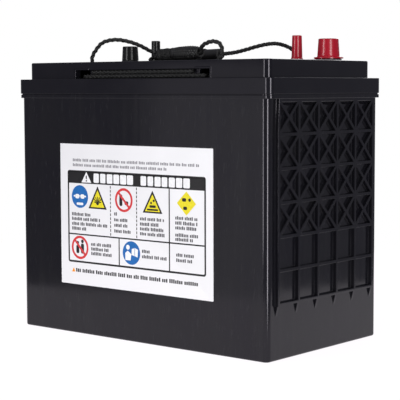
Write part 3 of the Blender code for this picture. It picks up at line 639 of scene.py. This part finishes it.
def build_held_ropes():
    """The stretch of each rope in the lid's slot, its overlapping tail, and the stretch in the grip."""
    floor = SLOT_BOTTOM + GAP + ROPE / 2
    above = SLOT_TOP - GAP - ROPE / 2
    lie = DECK_FACE_Y - SLOT_DEPTH + GAP + ROPE / 2
    one_end = [(-HOLE_X, -HOLE_Y, DECK_TOP - 0.0016), (-HOLE_X, -HOLE_Y, floor + 0.0045),
               (-HOLE_X + 0.0008, -HOLE_Y - 0.0075, floor + 0.0003), (-HOLE_X + 0.0055, -lie + 0.0012, floor),
               (-HOLE_X + 0.013, -lie, floor), (-0.045, -lie, floor), (0.0, -lie, floor)]
    other_end = [(-x, y, z) for x, y, z in reversed(one_end[:-1])]
    tail = [(-0.066 + 0.132 * k / 8, -lie, above) for k in range(9)]
    for row, start, heading, turn in HANDLES:
        rope_piece(f"{row}_rope_held", [turn @ Vector(p) for p in one_end + other_end], "battery")
        rope_piece(f"{row}_rope_tail", [turn @ Vector(p) for p in tail], "battery")
        (near, _), (far, _) = grip_ends(start, heading)
        rope_piece(f"{row}_rope_core", [near.lerp(far, k / 6) for k in range(7)], f"{row}_handle")


WINDING_TURNS = 11.5
WINDING_STEPS = 184
WINDING_CORD_RADIUS = 0.0015
WINDING_START = 0.003
WINDING_END = SLEEVE_LENGTH - 0.0026
WINDING_SLACK = 0.0007


def wound_cord(start, heading):
    """Cord wound tightly round the sleeve of the front grip, a little slack on its underside."""
    side = heading.cross(Vector((0, 0, 1))).normalized()
    up = side.cross(heading)
    route = []
    for k in range(WINDING_STEPS + 1):
        t = k / WINDING_STEPS
        angle = math.tau * WINDING_TURNS * t
        uneven = 0.0003 * math.sin(5.3 * angle / math.tau)
        reach = SLEEVE_RADIUS + 0.0004 + uneven
        middle = start + heading * (WINDING_START + (WINDING_END - WINDING_START) * t) - up * WINDING_SLACK
        route.append(middle + reach * (math.cos(angle) * up + math.sin(angle) * side))
    bm = bmesh.new()
    braided_tube(route, WINDING_CORD_RADIUS, bm)
    braid_piece("front_grip_wound_cord", bm, "front_hand_grip", "front_grip_winding")


WEAVE_RELIEF = 0.001
WEAVE_STRANDS = 8
WEAVE_LAY = 0.0048


def build_grips():
    """Hand grips: a smooth sleeve with a ring, and a swelling barrel with a woven surface."""
    ring_end = SLEEVE_LENGTH + 0.004
    barrel = [(0.0067, ring_end + 0.002), (0.0069, 0.05), (0.007, 0.06), (0.0068, 0.07),
              (0.006, 0.08), (0.005, GRIP_LENGTH)]
    sleeve = SLEEVE_RADIUS + 0.0006
    outer = [(0.0034, 0.0), (sleeve - 0.0008, 0.0001), (sleeve - 0.0002, 0.0006), (sleeve, 0.0013),
             (sleeve, SLEEVE_LENGTH - 0.0006), (sleeve + 0.0001, SLEEVE_LENGTH - 0.0001),
             (sleeve + 0.0006, SLEEVE_LENGTH + 0.0001), (sleeve + 0.0009, SLEEVE_LENGTH + 0.0006),
             (sleeve + 0.0009, ring_end - 0.0008), (sleeve + 0.0006, ring_end - 0.0001),
             (0.0063, ring_end + 0.0004)]
    swell = smooth_points([(r, 0.0, z) for r, z in barrel], 0.00042)
    profile = outer + [(p.x, p.z) for p in swell]
    profile += [(0.0042, GRIP_LENGTH + 0.0004), (GRIP_BORE, GRIP_LENGTH + 0.0002), (GRIP_BORE, 0.0)]

    def weave(angle, height, radius):
        """The woven relief of the barrel, which fades out at both of its ends."""
        if height < ring_end + 0.0015 or height > GRIP_LENGTH - 0.0004 or radius < 0.0045:
            return 0.0
        fade = min(1.0, (height - ring_end - 0.0015) / 0.0015, (GRIP_LENGTH - height) / 0.002)
        return WEAVE_RELIEF * fade * (over_and_under(angle, height, WEAVE_STRANDS, WEAVE_LAY) - 0.8)

    for row, start, heading, _ in HANDLES:
        placing = Matrix.LocRotScale(start, heading.to_track_quat("Z", "Y"), None)
        revolved(f"{row}_grip_moulded", profile, 80, GRIP_PLASTIC, f"{row}_hand_grip",
                 (f"{row}_grip",), placing, weave)
    wound_cord(FRONT_GRIP_START, FRONT_GRIP_HEADING)


# ---------------- case
HIGHEST_BAR = LOWEST_BAR + RIB_ROWS * RIB_PITCH
TOP_REACH = 0.0035
FOOT_STEPS = 8
FOOT_RISE = 0.78
FOOT_LOWEST = 0.00012
FOOT_CURVE = 1.4
# (distance, height) pairs: from a bar's flat top into an opening, and out from the border to the wall
RIB_SECTION = ((-0.00035, 0.0036), (-0.00012, 0.0035), (0.00000, 0.00325), (0.00015, 0.00055),
               (0.00032, 0.0002), (0.0007, 0.00005), (0.001, 0.00005))
RIB_BORDER = ((0.00115, 0.0036), (0.00138, 0.0035), (0.0015, 0.00325), (0.0016, 0.00055),
              (0.0018, 0.0002), (0.00215, 0.00005), (0.00215, -0.001))


def inset(outline, distance):
    """The outline moved inwards by a distance; it runs anticlockwise."""
    moved = []
    for before, here, after in zip(outline[-1:] + outline[:-1], outline, outline[1:] + outline[:1]):
        arriving = (here - before).normalized()
        leaving = (after - here).normalized()
        first = Vector((-arriving.y, arriving.x))
        second = Vector((-leaving.y, leaving.x))
        moved.append(here + (first + second) / (1 + first.dot(second)) * distance)
    return moved


def pits(row):
    """Openings of one cell about its middle: a square, or four triangles round a cross."""
    reach = (RIB_PITCH - RIB_WIDTH) / 2
    if row < PLAIN_ROWS:
        return [[Vector(c) * reach for c in ((-1, -1), (1, -1), (1, 1), (-1, 1))]]
    crossing = RIB_WIDTH / math.sqrt(2)
    corners = ((0, -crossing), (-(reach - crossing), -reach), (reach - crossing, -reach))
    return [[Matrix.Rotation(q * math.pi / 2, 2) @ Vector(c) for c in corners] for q in range(4)]


def rib_corner(part, point, height):
    """A vertex at a point (y, z) of the end wall, raised by a height."""
    return part.verts.new((CASE_LENGTH / 2 + height, point.x, point.y))


def opening_level(part, outline, distance, height):
    """A level of one opening; the upper wall of the top row slopes, so that it fades into the band above."""
    points = inset(outline, distance)
    drop = Vector((0.0, TOP_SLOPE * (1 - height / RIB_HEIGHT)))
    return [rib_corner(part, p - drop if p.y > HIGHEST_BAR - TOP_REACH else p, height) for p in points]


def rib_cell(part, row, column):
    """One cell of the ribs: its openings, and the flat tops of the bars round them."""
    middle = Vector(((column - (RIB_COLUMNS - 1) / 2) * RIB_PITCH, LOWEST_BAR + (row + 0.5) * RIB_PITCH))
    frame_ring = [rib_corner(part, middle + Vector(c) * RIB_PITCH / 2, RIB_HEIGHT)
                  for c in ((-1, -1), (1, -1), (1, 1), (-1, 1))]
    rims = []
    for pit in pits(row):
        outline = [middle + p for p in pit]
        loops = [opening_level(part, outline, distance, height) for distance, height in RIB_SECTION]
        rims.append(loops[0])
        for upper, lower in zip(loops, loops[1:]):
            joined(part, upper, lower)
        part.faces.new(loops[-1])
    if len(rims) == 1:
        joined(part, frame_ring, rims[0])
        return
    centre = rib_corner(part, middle, RIB_HEIGHT)
    for q in range(4):
        apex, first, second = rims[q]
        next_apex, next_first, _ = rims[(q + 1) % 4]
        start, end = frame_ring[q], frame_ring[(q + 1) % 4]
        part.faces.new((start, end, second, first))
        part.faces.new((end, next_first, next_apex, centre))
        part.faces.new((end, centre, apex, second))


def border_outline():
    """Points round all cells, anticlockwise from the low corner, each with its direction outwards."""
    low = Vector((-RIB_COLUMNS * RIB_PITCH / 2, LOWEST_BAR))
    high = Vector((RIB_COLUMNS * RIB_PITCH / 2, HIGHEST_BAR))
    outward = []
    for y, z, across, up, steps in ((low.x, low.y, 1, 0, range(RIB_COLUMNS + 1)),
                                    (high.x, low.y, 0, 1, range(1, RIB_ROWS + 1)),
                                    (high.x, high.y, -1, 0, range(1, RIB_COLUMNS + 1)),
                                    (low.x, high.y, 0, -1, range(1, RIB_ROWS))):
        for k in steps:
            point = Vector((y + across * k * RIB_PITCH, z + up * k * RIB_PITCH))
            away = Vector((up, -across))
            if point.x in (low.x, high.x) and point.y in (low.y, high.y):
                away = Vector((math.copysign(1, point.x), -1 if point.y == low.y else 1))
            outward.append((point, away))
    return outward


def rib_border(part):
    """The outline of all cells, stepped outwards and down to the wall."""
    outward = border_outline()
    loops = [[rib_corner(part, p, RIB_HEIGHT) for p, _ in outward]]
    for distance, height in RIB_BORDER:
        loops.append([rib_corner(part, p + away * distance, height) for p, away in outward])
    for inner, outer in zip(loops, loops[1:]):
        joined(part, inner, outer)
    part.faces.new(loops[-1])


def rib_feet(part):
    """Short feet under the lowest bar, where the upright ribs fade into the wall."""
    half_width = RIB_WIDTH / 2 - 0.0001
    for rib in range(RIB_COLUMNS + 1):
        y = (rib - RIB_COLUMNS / 2) * RIB_PITCH
        sections = []
        for k in range(FOOT_STEPS + 1):
            t = k / FOOT_STEPS
            rise = max(FOOT_LOWEST, FOOT_RISE * RIB_HEIGHT * (1 - t ** FOOT_CURVE))
            z = LOWEST_BAR - RIB_RUNOUT * t
            soft = min(0.0004, rise * 0.4)
            section = ((-half_width, -0.0008), (half_width, -0.0008), (half_width, rise - soft),
                       (half_width - soft, rise), (-half_width + soft, rise), (-half_width, rise - soft))
            sections.append([(CASE_LENGTH / 2 + height, y + across, z) for across, height in section])
        loft(part, sections)


def rib_panel(bm, side):
    """The ribs of one end wall as one closed relief, with soft edges and a little draft."""
    part = bmesh.new()
    for row in range(RIB_ROWS):
        for column in range(RIB_COLUMNS):
            rib_cell(part, row, column)
    rib_border(part)
    bmesh.ops.remove_doubles(part, verts=part.verts, dist=5e-6)
    rib_feet(part)
    bmesh.ops.recalc_face_normals(part, faces=part.faces)
    if side < 0:
        bmesh.ops.transform(part, matrix=Matrix.Rotation(math.pi, 4, "Z"), verts=part.verts)
    merged(bm, part)


def build_case():
    """The hollow jar with its lip, and the weld bead in the groove between the lip and the lid's flange."""
    half_length = CASE_LENGTH / 2 - CASE_WALL
    half_width = CASE_WIDTH / 2 - CASE_WALL
    shell = bmesh.new()
    rounded_slab(shell, CASE_LENGTH, CASE_WIDTH, CASE_CORNER, 0.0, CASE_TOP, 0.002, 0.0003)
    cell_length = (CASE_LENGTH - 2 * CASE_WALL - (CELLS - 1) * PARTITION) / CELLS
    rooms = bmesh.new()
    for cell in range(CELLS):
        x = (cell - (CELLS - 1) / 2) * (cell_length + PARTITION)
        block(rooms, (x - cell_length / 2, -half_width, CASE_FLOOR),
              (x + cell_length / 2, half_width, CASE_TOP + 0.01))
    shell = carved(shell, rooms)
    lip = (0.0, LIP_BOTTOM, LIP_TOP, 0.0006, 0.0005)
    bead = (0.0016, LIP_TOP - 0.0008, FLANGE_BOTTOM, 0.0001, 0.0001)
    for narrower, low, high, low_edge, high_edge in (lip, bead):
        band = bmesh.new()
        rounded_slab(band, LIP_LENGTH - narrower, LIP_WIDTH - narrower, LIP_CORNER, low, high,
                     low_edge, high_edge)
        hollow = bmesh.new()
        block(hollow, (-half_length, -half_width, LIP_BOTTOM - 0.01),
              (half_length, half_width, LIP_TOP + 0.01))
        merged(shell, carved(band, hollow))
    for side in (1, -1):
        rib_panel(shell, side)
    flat_shaded(finished("case_moulded", shell, CASE_PLASTIC, "battery", ("case",), 30.0))


# ---------------- terminals and caps
THREAD_PITCH = 0.00125
THREAD_DEPTH = 0.00055
THREAD_SIDES = 32
THREAD_LEVELS = 8
TIP_LENGTH = 0.0012
TIP_CHAMFER = 0.0009


def threaded(name, side):
    """A threaded stud with a chamfered tip."""
    bm = bmesh.new()
    steps = round((STUD_TOP - STUD_BOTTOM) / (THREAD_PITCH / THREAD_LEVELS))
    loops = []
    for k in range(steps + 1):
        z = STUD_BOTTOM + (STUD_TOP - STUD_BOTTOM) * k / steps
        room = min(1.0, (STUD_TOP - z) / TIP_LENGTH)
        turn = []
        for i in range(THREAD_SIDES):
            angle = math.tau * i / THREAD_SIDES
            phase = (z / THREAD_PITCH - i / THREAD_SIDES) % 1.0
            groove = THREAD_DEPTH * (1 - abs(2 * phase - 1))
            radius = STUD_RADIUS - max(groove, TIP_CHAMFER * (1 - room))
            turn.append((side * STUD_X + radius * math.cos(angle), TERMINAL_Y + radius * math.sin(angle), z))
        loops.append(turn)
    loft(bm, loops)
    return finished(f"{name}_threaded", bm, STEEL, "battery", (name,), angle=70.0)


def cap_profile(height, top, bottom, wall, foot, foot_height, edge):
    """Section of a soft cap: tapered wall, rounded top, thin foot, hollow inside. It ends on the axis."""
    outer = [(0.0, height - 0.0003), (top * 0.5, height - 0.0002), (top - edge * 1.2, height)]
    for k in range(1, 5):
        angle = k / 4 * math.pi / 2
        outer.append((top - edge * (1 - math.sin(angle)), height - edge * (1 - math.cos(angle))))
    lean = (bottom - top) / (height - foot_height)
    for down in (edge + 0.0003, height - foot_height - 0.0017, height - foot_height - 0.0012):
        outer.append((top + lean * (down - edge), height - down))
    return outer + [(bottom + 0.0002, foot_height + 0.0003), (bottom + 0.0008, foot_height),
                    (foot - 0.0002, foot_height - 0.0001), (foot, foot_height - 0.0004), (foot, 0.0002),
                    (foot - 0.0003, 0.0), (bottom - wall, 0.0), (top - wall, height - wall),
                    (0.0, height - wall)]


def build_caps():
    """The soft caps: wide ones over the posts, narrow ones that fit closely round the studs."""
    base = PAD_TOP + GAP
    posts = (("positive", 1, RED_CAP, "red_caps", 0.2964, 0.00985, 0.011, 0.01435, 0.0015),
             ("negative", -1, BLACK_CAP, "black_caps", 0.2945, 0.0084, 0.0093, 0.0101, 0.0012))
    for sign, side, surface, slot, top_z, top, bottom, foot, foot_height in posts:

        def wave(angle, height, radius, foot=foot, bottom=bottom):
            """The thin foot of the cap is not quite round."""
            return 0.00025 * math.sin(3 * angle + 0.6) if radius > bottom + 0.0006 else 0.0

        profile = cap_profile(top_z - base, top, bottom, 0.0012, foot, foot_height, 0.0009)
        revolved(f"{sign}_post_cap_moulded", profile, 72, surface, f"{sign}_post_cap_body",
                 (f"{sign}_post_cap",), Matrix.Translation((side * POST_X, TERMINAL_Y, base)), wave)
    studs = (("positive", 1, RED_CAP, "red_caps", 0.3006, 0.0048, 0.0055),
             ("negative", -1, BLACK_CAP, "black_caps", 0.2996, 0.0047, 0.0049))
    for sign, side, surface, slot, top_z, top, bottom in studs:
        height = top_z - base
        profile = cap_profile(height, top, bottom, 0.001, bottom + 0.0007, 0.0011, 0.0006)[:-3]
        inner = STUD_RADIUS + GAP
        profile += [(inner, 0.0), (inner, height - 0.001), (0.0, height - 0.001)]
        revolved(f"{sign}_stud_cap_moulded", profile, 56, surface, f"{sign}_stud_cap_body",
                 (f"{sign}_stud_cap",), Matrix.Translation((side * STUD_X, TERMINAL_Y, base)))


# ---------------- label
LABEL_FACE = -0.0909
PRINT_STEP = 0.00003
PRINT_ROOT = 0.00002
prints = {}


def plate(colour, outline, level=1):
    """A flat printed shape: a thin closed prism on the label, outline in millimetres (x, z)."""
    bm = prints.setdefault(colour, bmesh.new())
    loops = [[(x * MM, LABEL_FACE + depth, z * MM) for x, z in outline]
             for depth in (PRINT_ROOT, -PRINT_STEP * level)]
    loft(bm, loops)


def rectangle(x0, z0, x1, z1):
    """Corners of an upright rectangle between two opposite ones."""
    return [(x0, z0), (x1, z0), (x1, z1), (x0, z1)]


def disc(x, z, radius, sides=48):
    """Points of a circle about a point."""
    return [(x + radius * math.cos(math.tau * k / sides), z + radius * math.sin(math.tau * k / sides))
            for k in range(sides)]


def rounded(x0, z0, x1, z1, corner):
    """Points of a rectangle with round corners."""
    middle = Vector(((x0 + x1) / 2, (z0 + z1) / 2))
    return [tuple(middle + p) for p in rounded_rectangle(x1 - x0, z1 - z0, corner, 6)]


def ring(colour, outer, inner):
    """A band between two outlines of the same count."""
    bm = prints.setdefault(colour, bmesh.new())
    loops = []
    for outline, depth in ((outer, PRINT_ROOT), (outer, -PRINT_STEP), (inner, -PRINT_STEP),
                           (inner, PRINT_ROOT)):
        loops.append([(x * MM, LABEL_FACE + depth, z * MM) for x, z in outline])
    rings = loft(bm, loops, closed=False)
    joined(bm, rings[-1], rings[0])


def slanted(colour, x, z, reach, width, degrees, level):
    """A straight bar through a point, turned by an angle."""
    c, s = math.cos(math.radians(degrees)), math.sin(math.radians(degrees))
    half = width / 2
    corners = ((-reach, -half), (reach, -half), (reach, half), (-reach, half))
    plate(colour, [(x + c * a - s * b, z + s * a + c * b) for a, b in corners], level)


def greeked(colour, x0, x1, z, height, stroke, chance):
    """A line of meaningless little blocks between x0 and x1, in word-like runs."""
    x = x0
    left = chance.randint(3, 8)
    width = height * stroke
    while x + width <= x1 + 0.2:
        tall = height * chance.choice((0.8, 0.9, 1.0))
        plate(colour, rectangle(x, z - height / 2, x + width, z - height / 2 + tall))
        x += width * 1.38
        left -= 1
        if not left:
            x += width * 0.95
            left = chance.randint(3, 8)


def label_sheet():
    """The blank label, with a fine chamfer round its face."""
    bm = bmesh.new()
    outline = rounded(-103.45, 50.35, 98.05, 193.05, 0.8)
    middle_x, middle_z = -2.7, 121.7
    back = -CASE_WIDTH / 2 - 0.00015
    loops = []
    for y, shrink in ((back, 0.0), (LABEL_FACE + 0.0001, 0.0), (LABEL_FACE, 0.12)):
        loops.append([(MM * (x - math.copysign(shrink, x - middle_x)), y,
                       MM * (z - math.copysign(shrink, z - middle_z))) for x, z in outline])
    loft(bm, loops)
    finished("front_label_sheet", bm, PAPER, "battery", ("front_label",))


def print_long_lines(chance):
    """Two grey lines above the frame and a dark one with its orange sign under it."""
    greeked("grey", -85.5, 82.2, 176.8, 2.9, 0.52, chance)
    greeked("grey", -85.5, 41.1, 171.9, 2.9, 0.52, chance)
    plate("orange", [(-88.2, 62.9), (-83.2, 62.9), (-85.7, 67.4)])
    greeked("black", -82.4, 80.0, 65.0, 3.9, 0.46, chance)


def print_frame():
    """The frame, the header band and the dividers, two of them dotted."""
    ring("black", rounded(-93.1, 72.8, 89.4, 166.4, 2.6), rounded(-91.2, 74.7, 87.5, 164.5, 1.2))
    for box in ((-91.6, 153.4, 87.9, 164.9), (-91.6, 101.0, 87.9, 102.4), (43.3, 74.5, 44.7, 153.5),
                (-22.7, 74.5, -21.3, 101.3)):
        plate("black", rectangle(*box))
    for x in (-33.4, 1.7):
        for k in range(13):
            plate("black", rectangle(x - 0.55, 103.2 + k * 3.9, x + 0.55, 105.8 + k * 3.9))


def print_header(chance):
    """A white triangle with a dark middle, and a row of blank blocks."""
    plate("white", [(-73.4, 154.5), (-59.6, 154.5), (-66.5, 165.2)], 2)
    plate("black", rounded(-67.3, 157.9, -65.7, 161.6, 0.7), 3)
    plate("black", disc(-66.5, 156.3, 0.85, 16), 3)
    start, end, blocks, space = -56.3, 70.8, 14, 6
    pitch = (end - start) / blocks
    for k in range(blocks):
        if k != space:
            wide = pitch * chance.choice((0.8, 0.86, 0.9))
            x = start + k * pitch
            plate("white", rounded(x, 154.8, x + wide, 164.1, 1.3), 2)


def print_upper_pictures():
    """Goggles, rays, a barred flame, hands under drops and a diamond, all as simple generic shapes."""
    plate("blue", disc(-75.9, 140.0, 11.5))
    for box, corner in (((-82.4, 138.0, -76.7, 142.4), 1.9), ((-75.1, 138.0, -69.4, 142.4), 1.9)):
        plate("white", rounded(*box, corner), 2)
    plate("white", rectangle(-77.2, 140.1, -74.6, 141.1), 2)
    for box, corner in (((-80.6, 131.4, -71.2, 133.9), 1.0), ((-84.6, 139.6, -82.0, 141.2), 0.6),
                        ((-69.8, 139.6, -67.2, 141.2), 0.6)):
        plate("white", rounded(*box, corner), 2)

    for x, z_top, left, right in ((-51.1, 151.4, -63.9, -38.5), (22.5, 150.6, 9.7, 35.3)):
        plate("black", [(left, 128.7), (right, 128.7), (x, z_top)])
        plate("yellow", [(left + 3.1, 130.3), (right - 3.1, 130.3), (x, z_top - 3.7)], 2)
    ray_x, ray_z = -51.1, 134.4
    for degrees in (15, 40, 65, 90, 115, 140, 165):
        reach = 3.2 if degrees in (15, 165) else 4.6
        c, s = math.cos(math.radians(degrees)), math.sin(math.radians(degrees))
        away = 2.0 + reach / 2
        slanted("black", ray_x + c * away, ray_z + s * away, reach / 2, 1.0, degrees, 3)
    plate("black", disc(ray_x, ray_z, 1.9, 20), 3)
    plate("black", rounded(15.4, 131.2, 29.8, 132.9, 0.7), 3)
    plate("black", rounded(18.6, 134.0, 26.8, 136.4, 1.0), 3)
    plate("black", disc(20.8, 138.6, 1.2, 20), 3)
    plate("black", disc(24.2, 140.8, 1.3, 20), 3)

    ring("red", disc(-15.3, 139.4, 11.8), disc(-15.3, 139.4, 9.3))
    plate("black", rounded(-21.2, 133.4, -17.2, 145.0, 1.8))
    plate("black", rounded(-14.2, 134.6, -9.2, 138.4, 1.6))
    slanted("red", -15.3, 139.4, 10.0, 2.4, -45, 2)

    plate("yellow", [(53.6, 140.4), (65.5, 129.0), (77.4, 140.4), (65.5, 151.8)])
    plate("black", rounded(60.2, 142.0, 65.2, 145.4, 1.2), 2)
    plate("black", disc(69.5, 143.8, 1.6, 20), 2)
    plate("black", rounded(61.6, 134.2, 66.4, 137.4, 1.2), 2)


def print_lower_pictures():
    """A barred red ring with two figures, and a blue disc with a reader."""
    ring("red", disc(-76.4, 88.3, 11.9), disc(-76.4, 88.3, 9.4))
    plate("black", rounded(-81.8, 82.2, -77.6, 90.8, 1.7))
    plate("black", disc(-79.7, 92.9, 1.8, 20))
    plate("black", rounded(-75.2, 82.2, -70.8, 92.4, 1.9))
    plate("black", disc(-73.0, 94.7, 1.9, 20))
    slanted("red", -76.4, 88.3, 10.1, 2.4, -45, 2)
    plate("blue", disc(-5.6, 88.0, 11.6))
    plate("white", disc(-10.2, 93.4, 2.4, 28), 2)
    plate("white", [(-13.6, 80.6), (-6.8, 80.6), (-5.6, 86.8), (-10.4, 90.0), (-13.8, 87.6)], 2)
    plate("white", [(-5.4, 86.2), (2.6, 84.4), (3.2, 91.8), (-1.0, 93.2), (-5.0, 92.0)], 2)
    plate("blue", [(-1.4, 85.5), (-0.9, 85.4), (-0.8, 92.8), (-1.3, 92.9)], 3)


def print_small_lines(chance):
    """Small print beside and under the pictures."""
    lines_from = {-87.4: ((-60.6, 122.1), (-48.1, 117.4), (-37.6, 112.4), (-66.2, 107.5)),
                  -28.4: ((-22.9, 125.3), (-9.3, 119.6), (-9.1, 114.2), (-5.8, 108.4)),
                  6.1: ((38.4, 122.7), (31.0, 117.6), (38.4, 112.9), (39.6, 108.1)),
                  51.5: ((78.9, 126.2), (79.8, 121.4), (78.4, 116.8), (80.0, 110.0), (74.4, 105.8)),
                  -60.6: ((-32.9, 92.9), (-36.2, 88.1), (-31.7, 83.5)),
                  8.5: ((20.2, 91.0), (40.6, 85.8)),
                  52.5: ((76.6, 90.9), (73.3, 85.8))}
    for x0, lines in lines_from.items():
        for x1, z in lines:
            greeked("dark", x0, x1, z, 3.3, 0.46, chance)


def build_label():
    """The sheet, and everything printed on it as thin raised shapes, one piece for each ink."""
    chance = random.Random(11)
    label_sheet()
    print_long_lines(chance)
    print_frame()
    print_header(chance)
    print_upper_pictures()
    print_lower_pictures()
    print_small_lines(chance)
    for colour, bm in prints.items():
        finished(f"label_print_{colour}", bm, ink(colour), "battery", smooth=False)


# ---------------- carried-over nodes
def build_rest():
    """The lid, vent cover, terminals and studs as own pieces; looks for the CAD nodes inside."""
    softened("lid", LID_PLASTIC, 0.0004)
    softened("vent_cover", VENT_PLASTIC, 0.0003)
    for sign in ("positive", "negative"):
        softened(f"{sign}_terminal", LEAD, 0.0003)
        threaded(f"{sign}_stud", 1 if sign == "positive" else -1)
    surfaces = {"valve": RUBBER, "seal": RUBBER, "positive_group": POSITIVE_PASTE,
                "negative_group": NEGATIVE_PASTE, "separator": GLASS_MAT, "weld": LEAD}
    for name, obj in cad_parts.items():
        for word, surface in surfaces.items():
            if word in name:
                obj.data.materials.clear()
                obj.data.materials.append(surface)


build_held_ropes()
build_grips()
build_case()
build_caps()
build_label()
build_rest()


# ---------------- studio
TABLE_OUTLINE = ((-0.75, -0.165), (0.28, -0.5), (0.42, 0.22), (0.36, 0.46), (0.1, 0.75), (-0.75, 0.6))
TABLE_GLOW = 0.98
TABLE_TINT = (1.0, 0.97, 1.0, 1.0)
ROOM = (0.22, 0.22, 0.25)
AIM = Vector((0.16, -0.09, 0.14))
SOFTBOXES = (("front_box", -22.0, 1.5, 0.38, (0.34, 0.96), 10.6),
             ("wall_box", -35.0, 1.6, 0.03, (0.62, 0.58), 0.58),
             ("side_box", 64.0, 1.5, 0.24, (0.42, 0.9), 18.0),
             ("top_box", 20.0, 0.6, 1.5, (0.9, 0.9), 4.0),
             ("back_box", 200.0, 1.5, 0.8, (0.8, 0.8), 8.0))


def build_floor():
    """A pale table top, evenly lit; its edges are what the glossy walls mirror."""
    bm = bmesh.new()
    loft(bm, [[(x, y, z) for x, y in TABLE_OUTLINE] for z in (-0.02, -0.0002)])
    floor = new_object("floor", bm)
    floor.data.materials.append(principled("floor", {
        "Base Color": (0.1, 0.1, 0.1, 1.0), "Roughness": 0.9, "Specular IOR Level": 0.0,
        "Emission Color": TABLE_TINT, "Emission Strength": TABLE_GLOW}))


def build_world():
    """White behind the object, a dim studio for everything that it reflects."""
    world = bpy.data.worlds.new("studio")
    bpy.context.scene.world = world
    world.use_nodes = True
    nodes, links = world.node_tree.nodes, world.node_tree.links
    backdrop = nodes["Background"]
    backdrop.inputs["Color"].default_value = (1.0, 1.0, 1.0, 1.0)
    room = nodes.new("ShaderNodeBackground")
    room.inputs["Color"].default_value = (*ROOM, 1.0)
    seen = nodes.new("ShaderNodeLightPath")
    mix = nodes.new("ShaderNodeMixShader")
    links.new(seen.outputs["Is Camera Ray"], mix.inputs["Fac"])
    links.new(room.outputs["Background"], mix.inputs[1])
    links.new(backdrop.outputs["Background"], mix.inputs[2])
    links.new(mix.outputs["Shader"], nodes["World Output"].inputs["Surface"])


def softbox(name, azimuth, distance, height, size, power):
    """A soft light aimed at a point; azimuth 0 is in front of the label, 90 is at the positive end."""
    data = bpy.data.lights.new(name, "AREA")
    data.shape = "RECTANGLE"
    data.size, data.size_y = size
    data.energy = power
    lamp = bpy.data.objects.new(name, data)
    turn = math.radians(azimuth)
    lamp.location = (AIM.x + distance * math.sin(turn), AIM.y - distance * math.cos(turn), height)
    lamp.rotation_mode = "QUATERNION"
    lamp.rotation_quaternion = (AIM - lamp.location).to_track_quat("-Z", "Y")
    bpy.context.scene.collection.objects.link(lamp)


build_floor()
build_world()
for settings in SOFTBOXES:
    softbox(*settings)
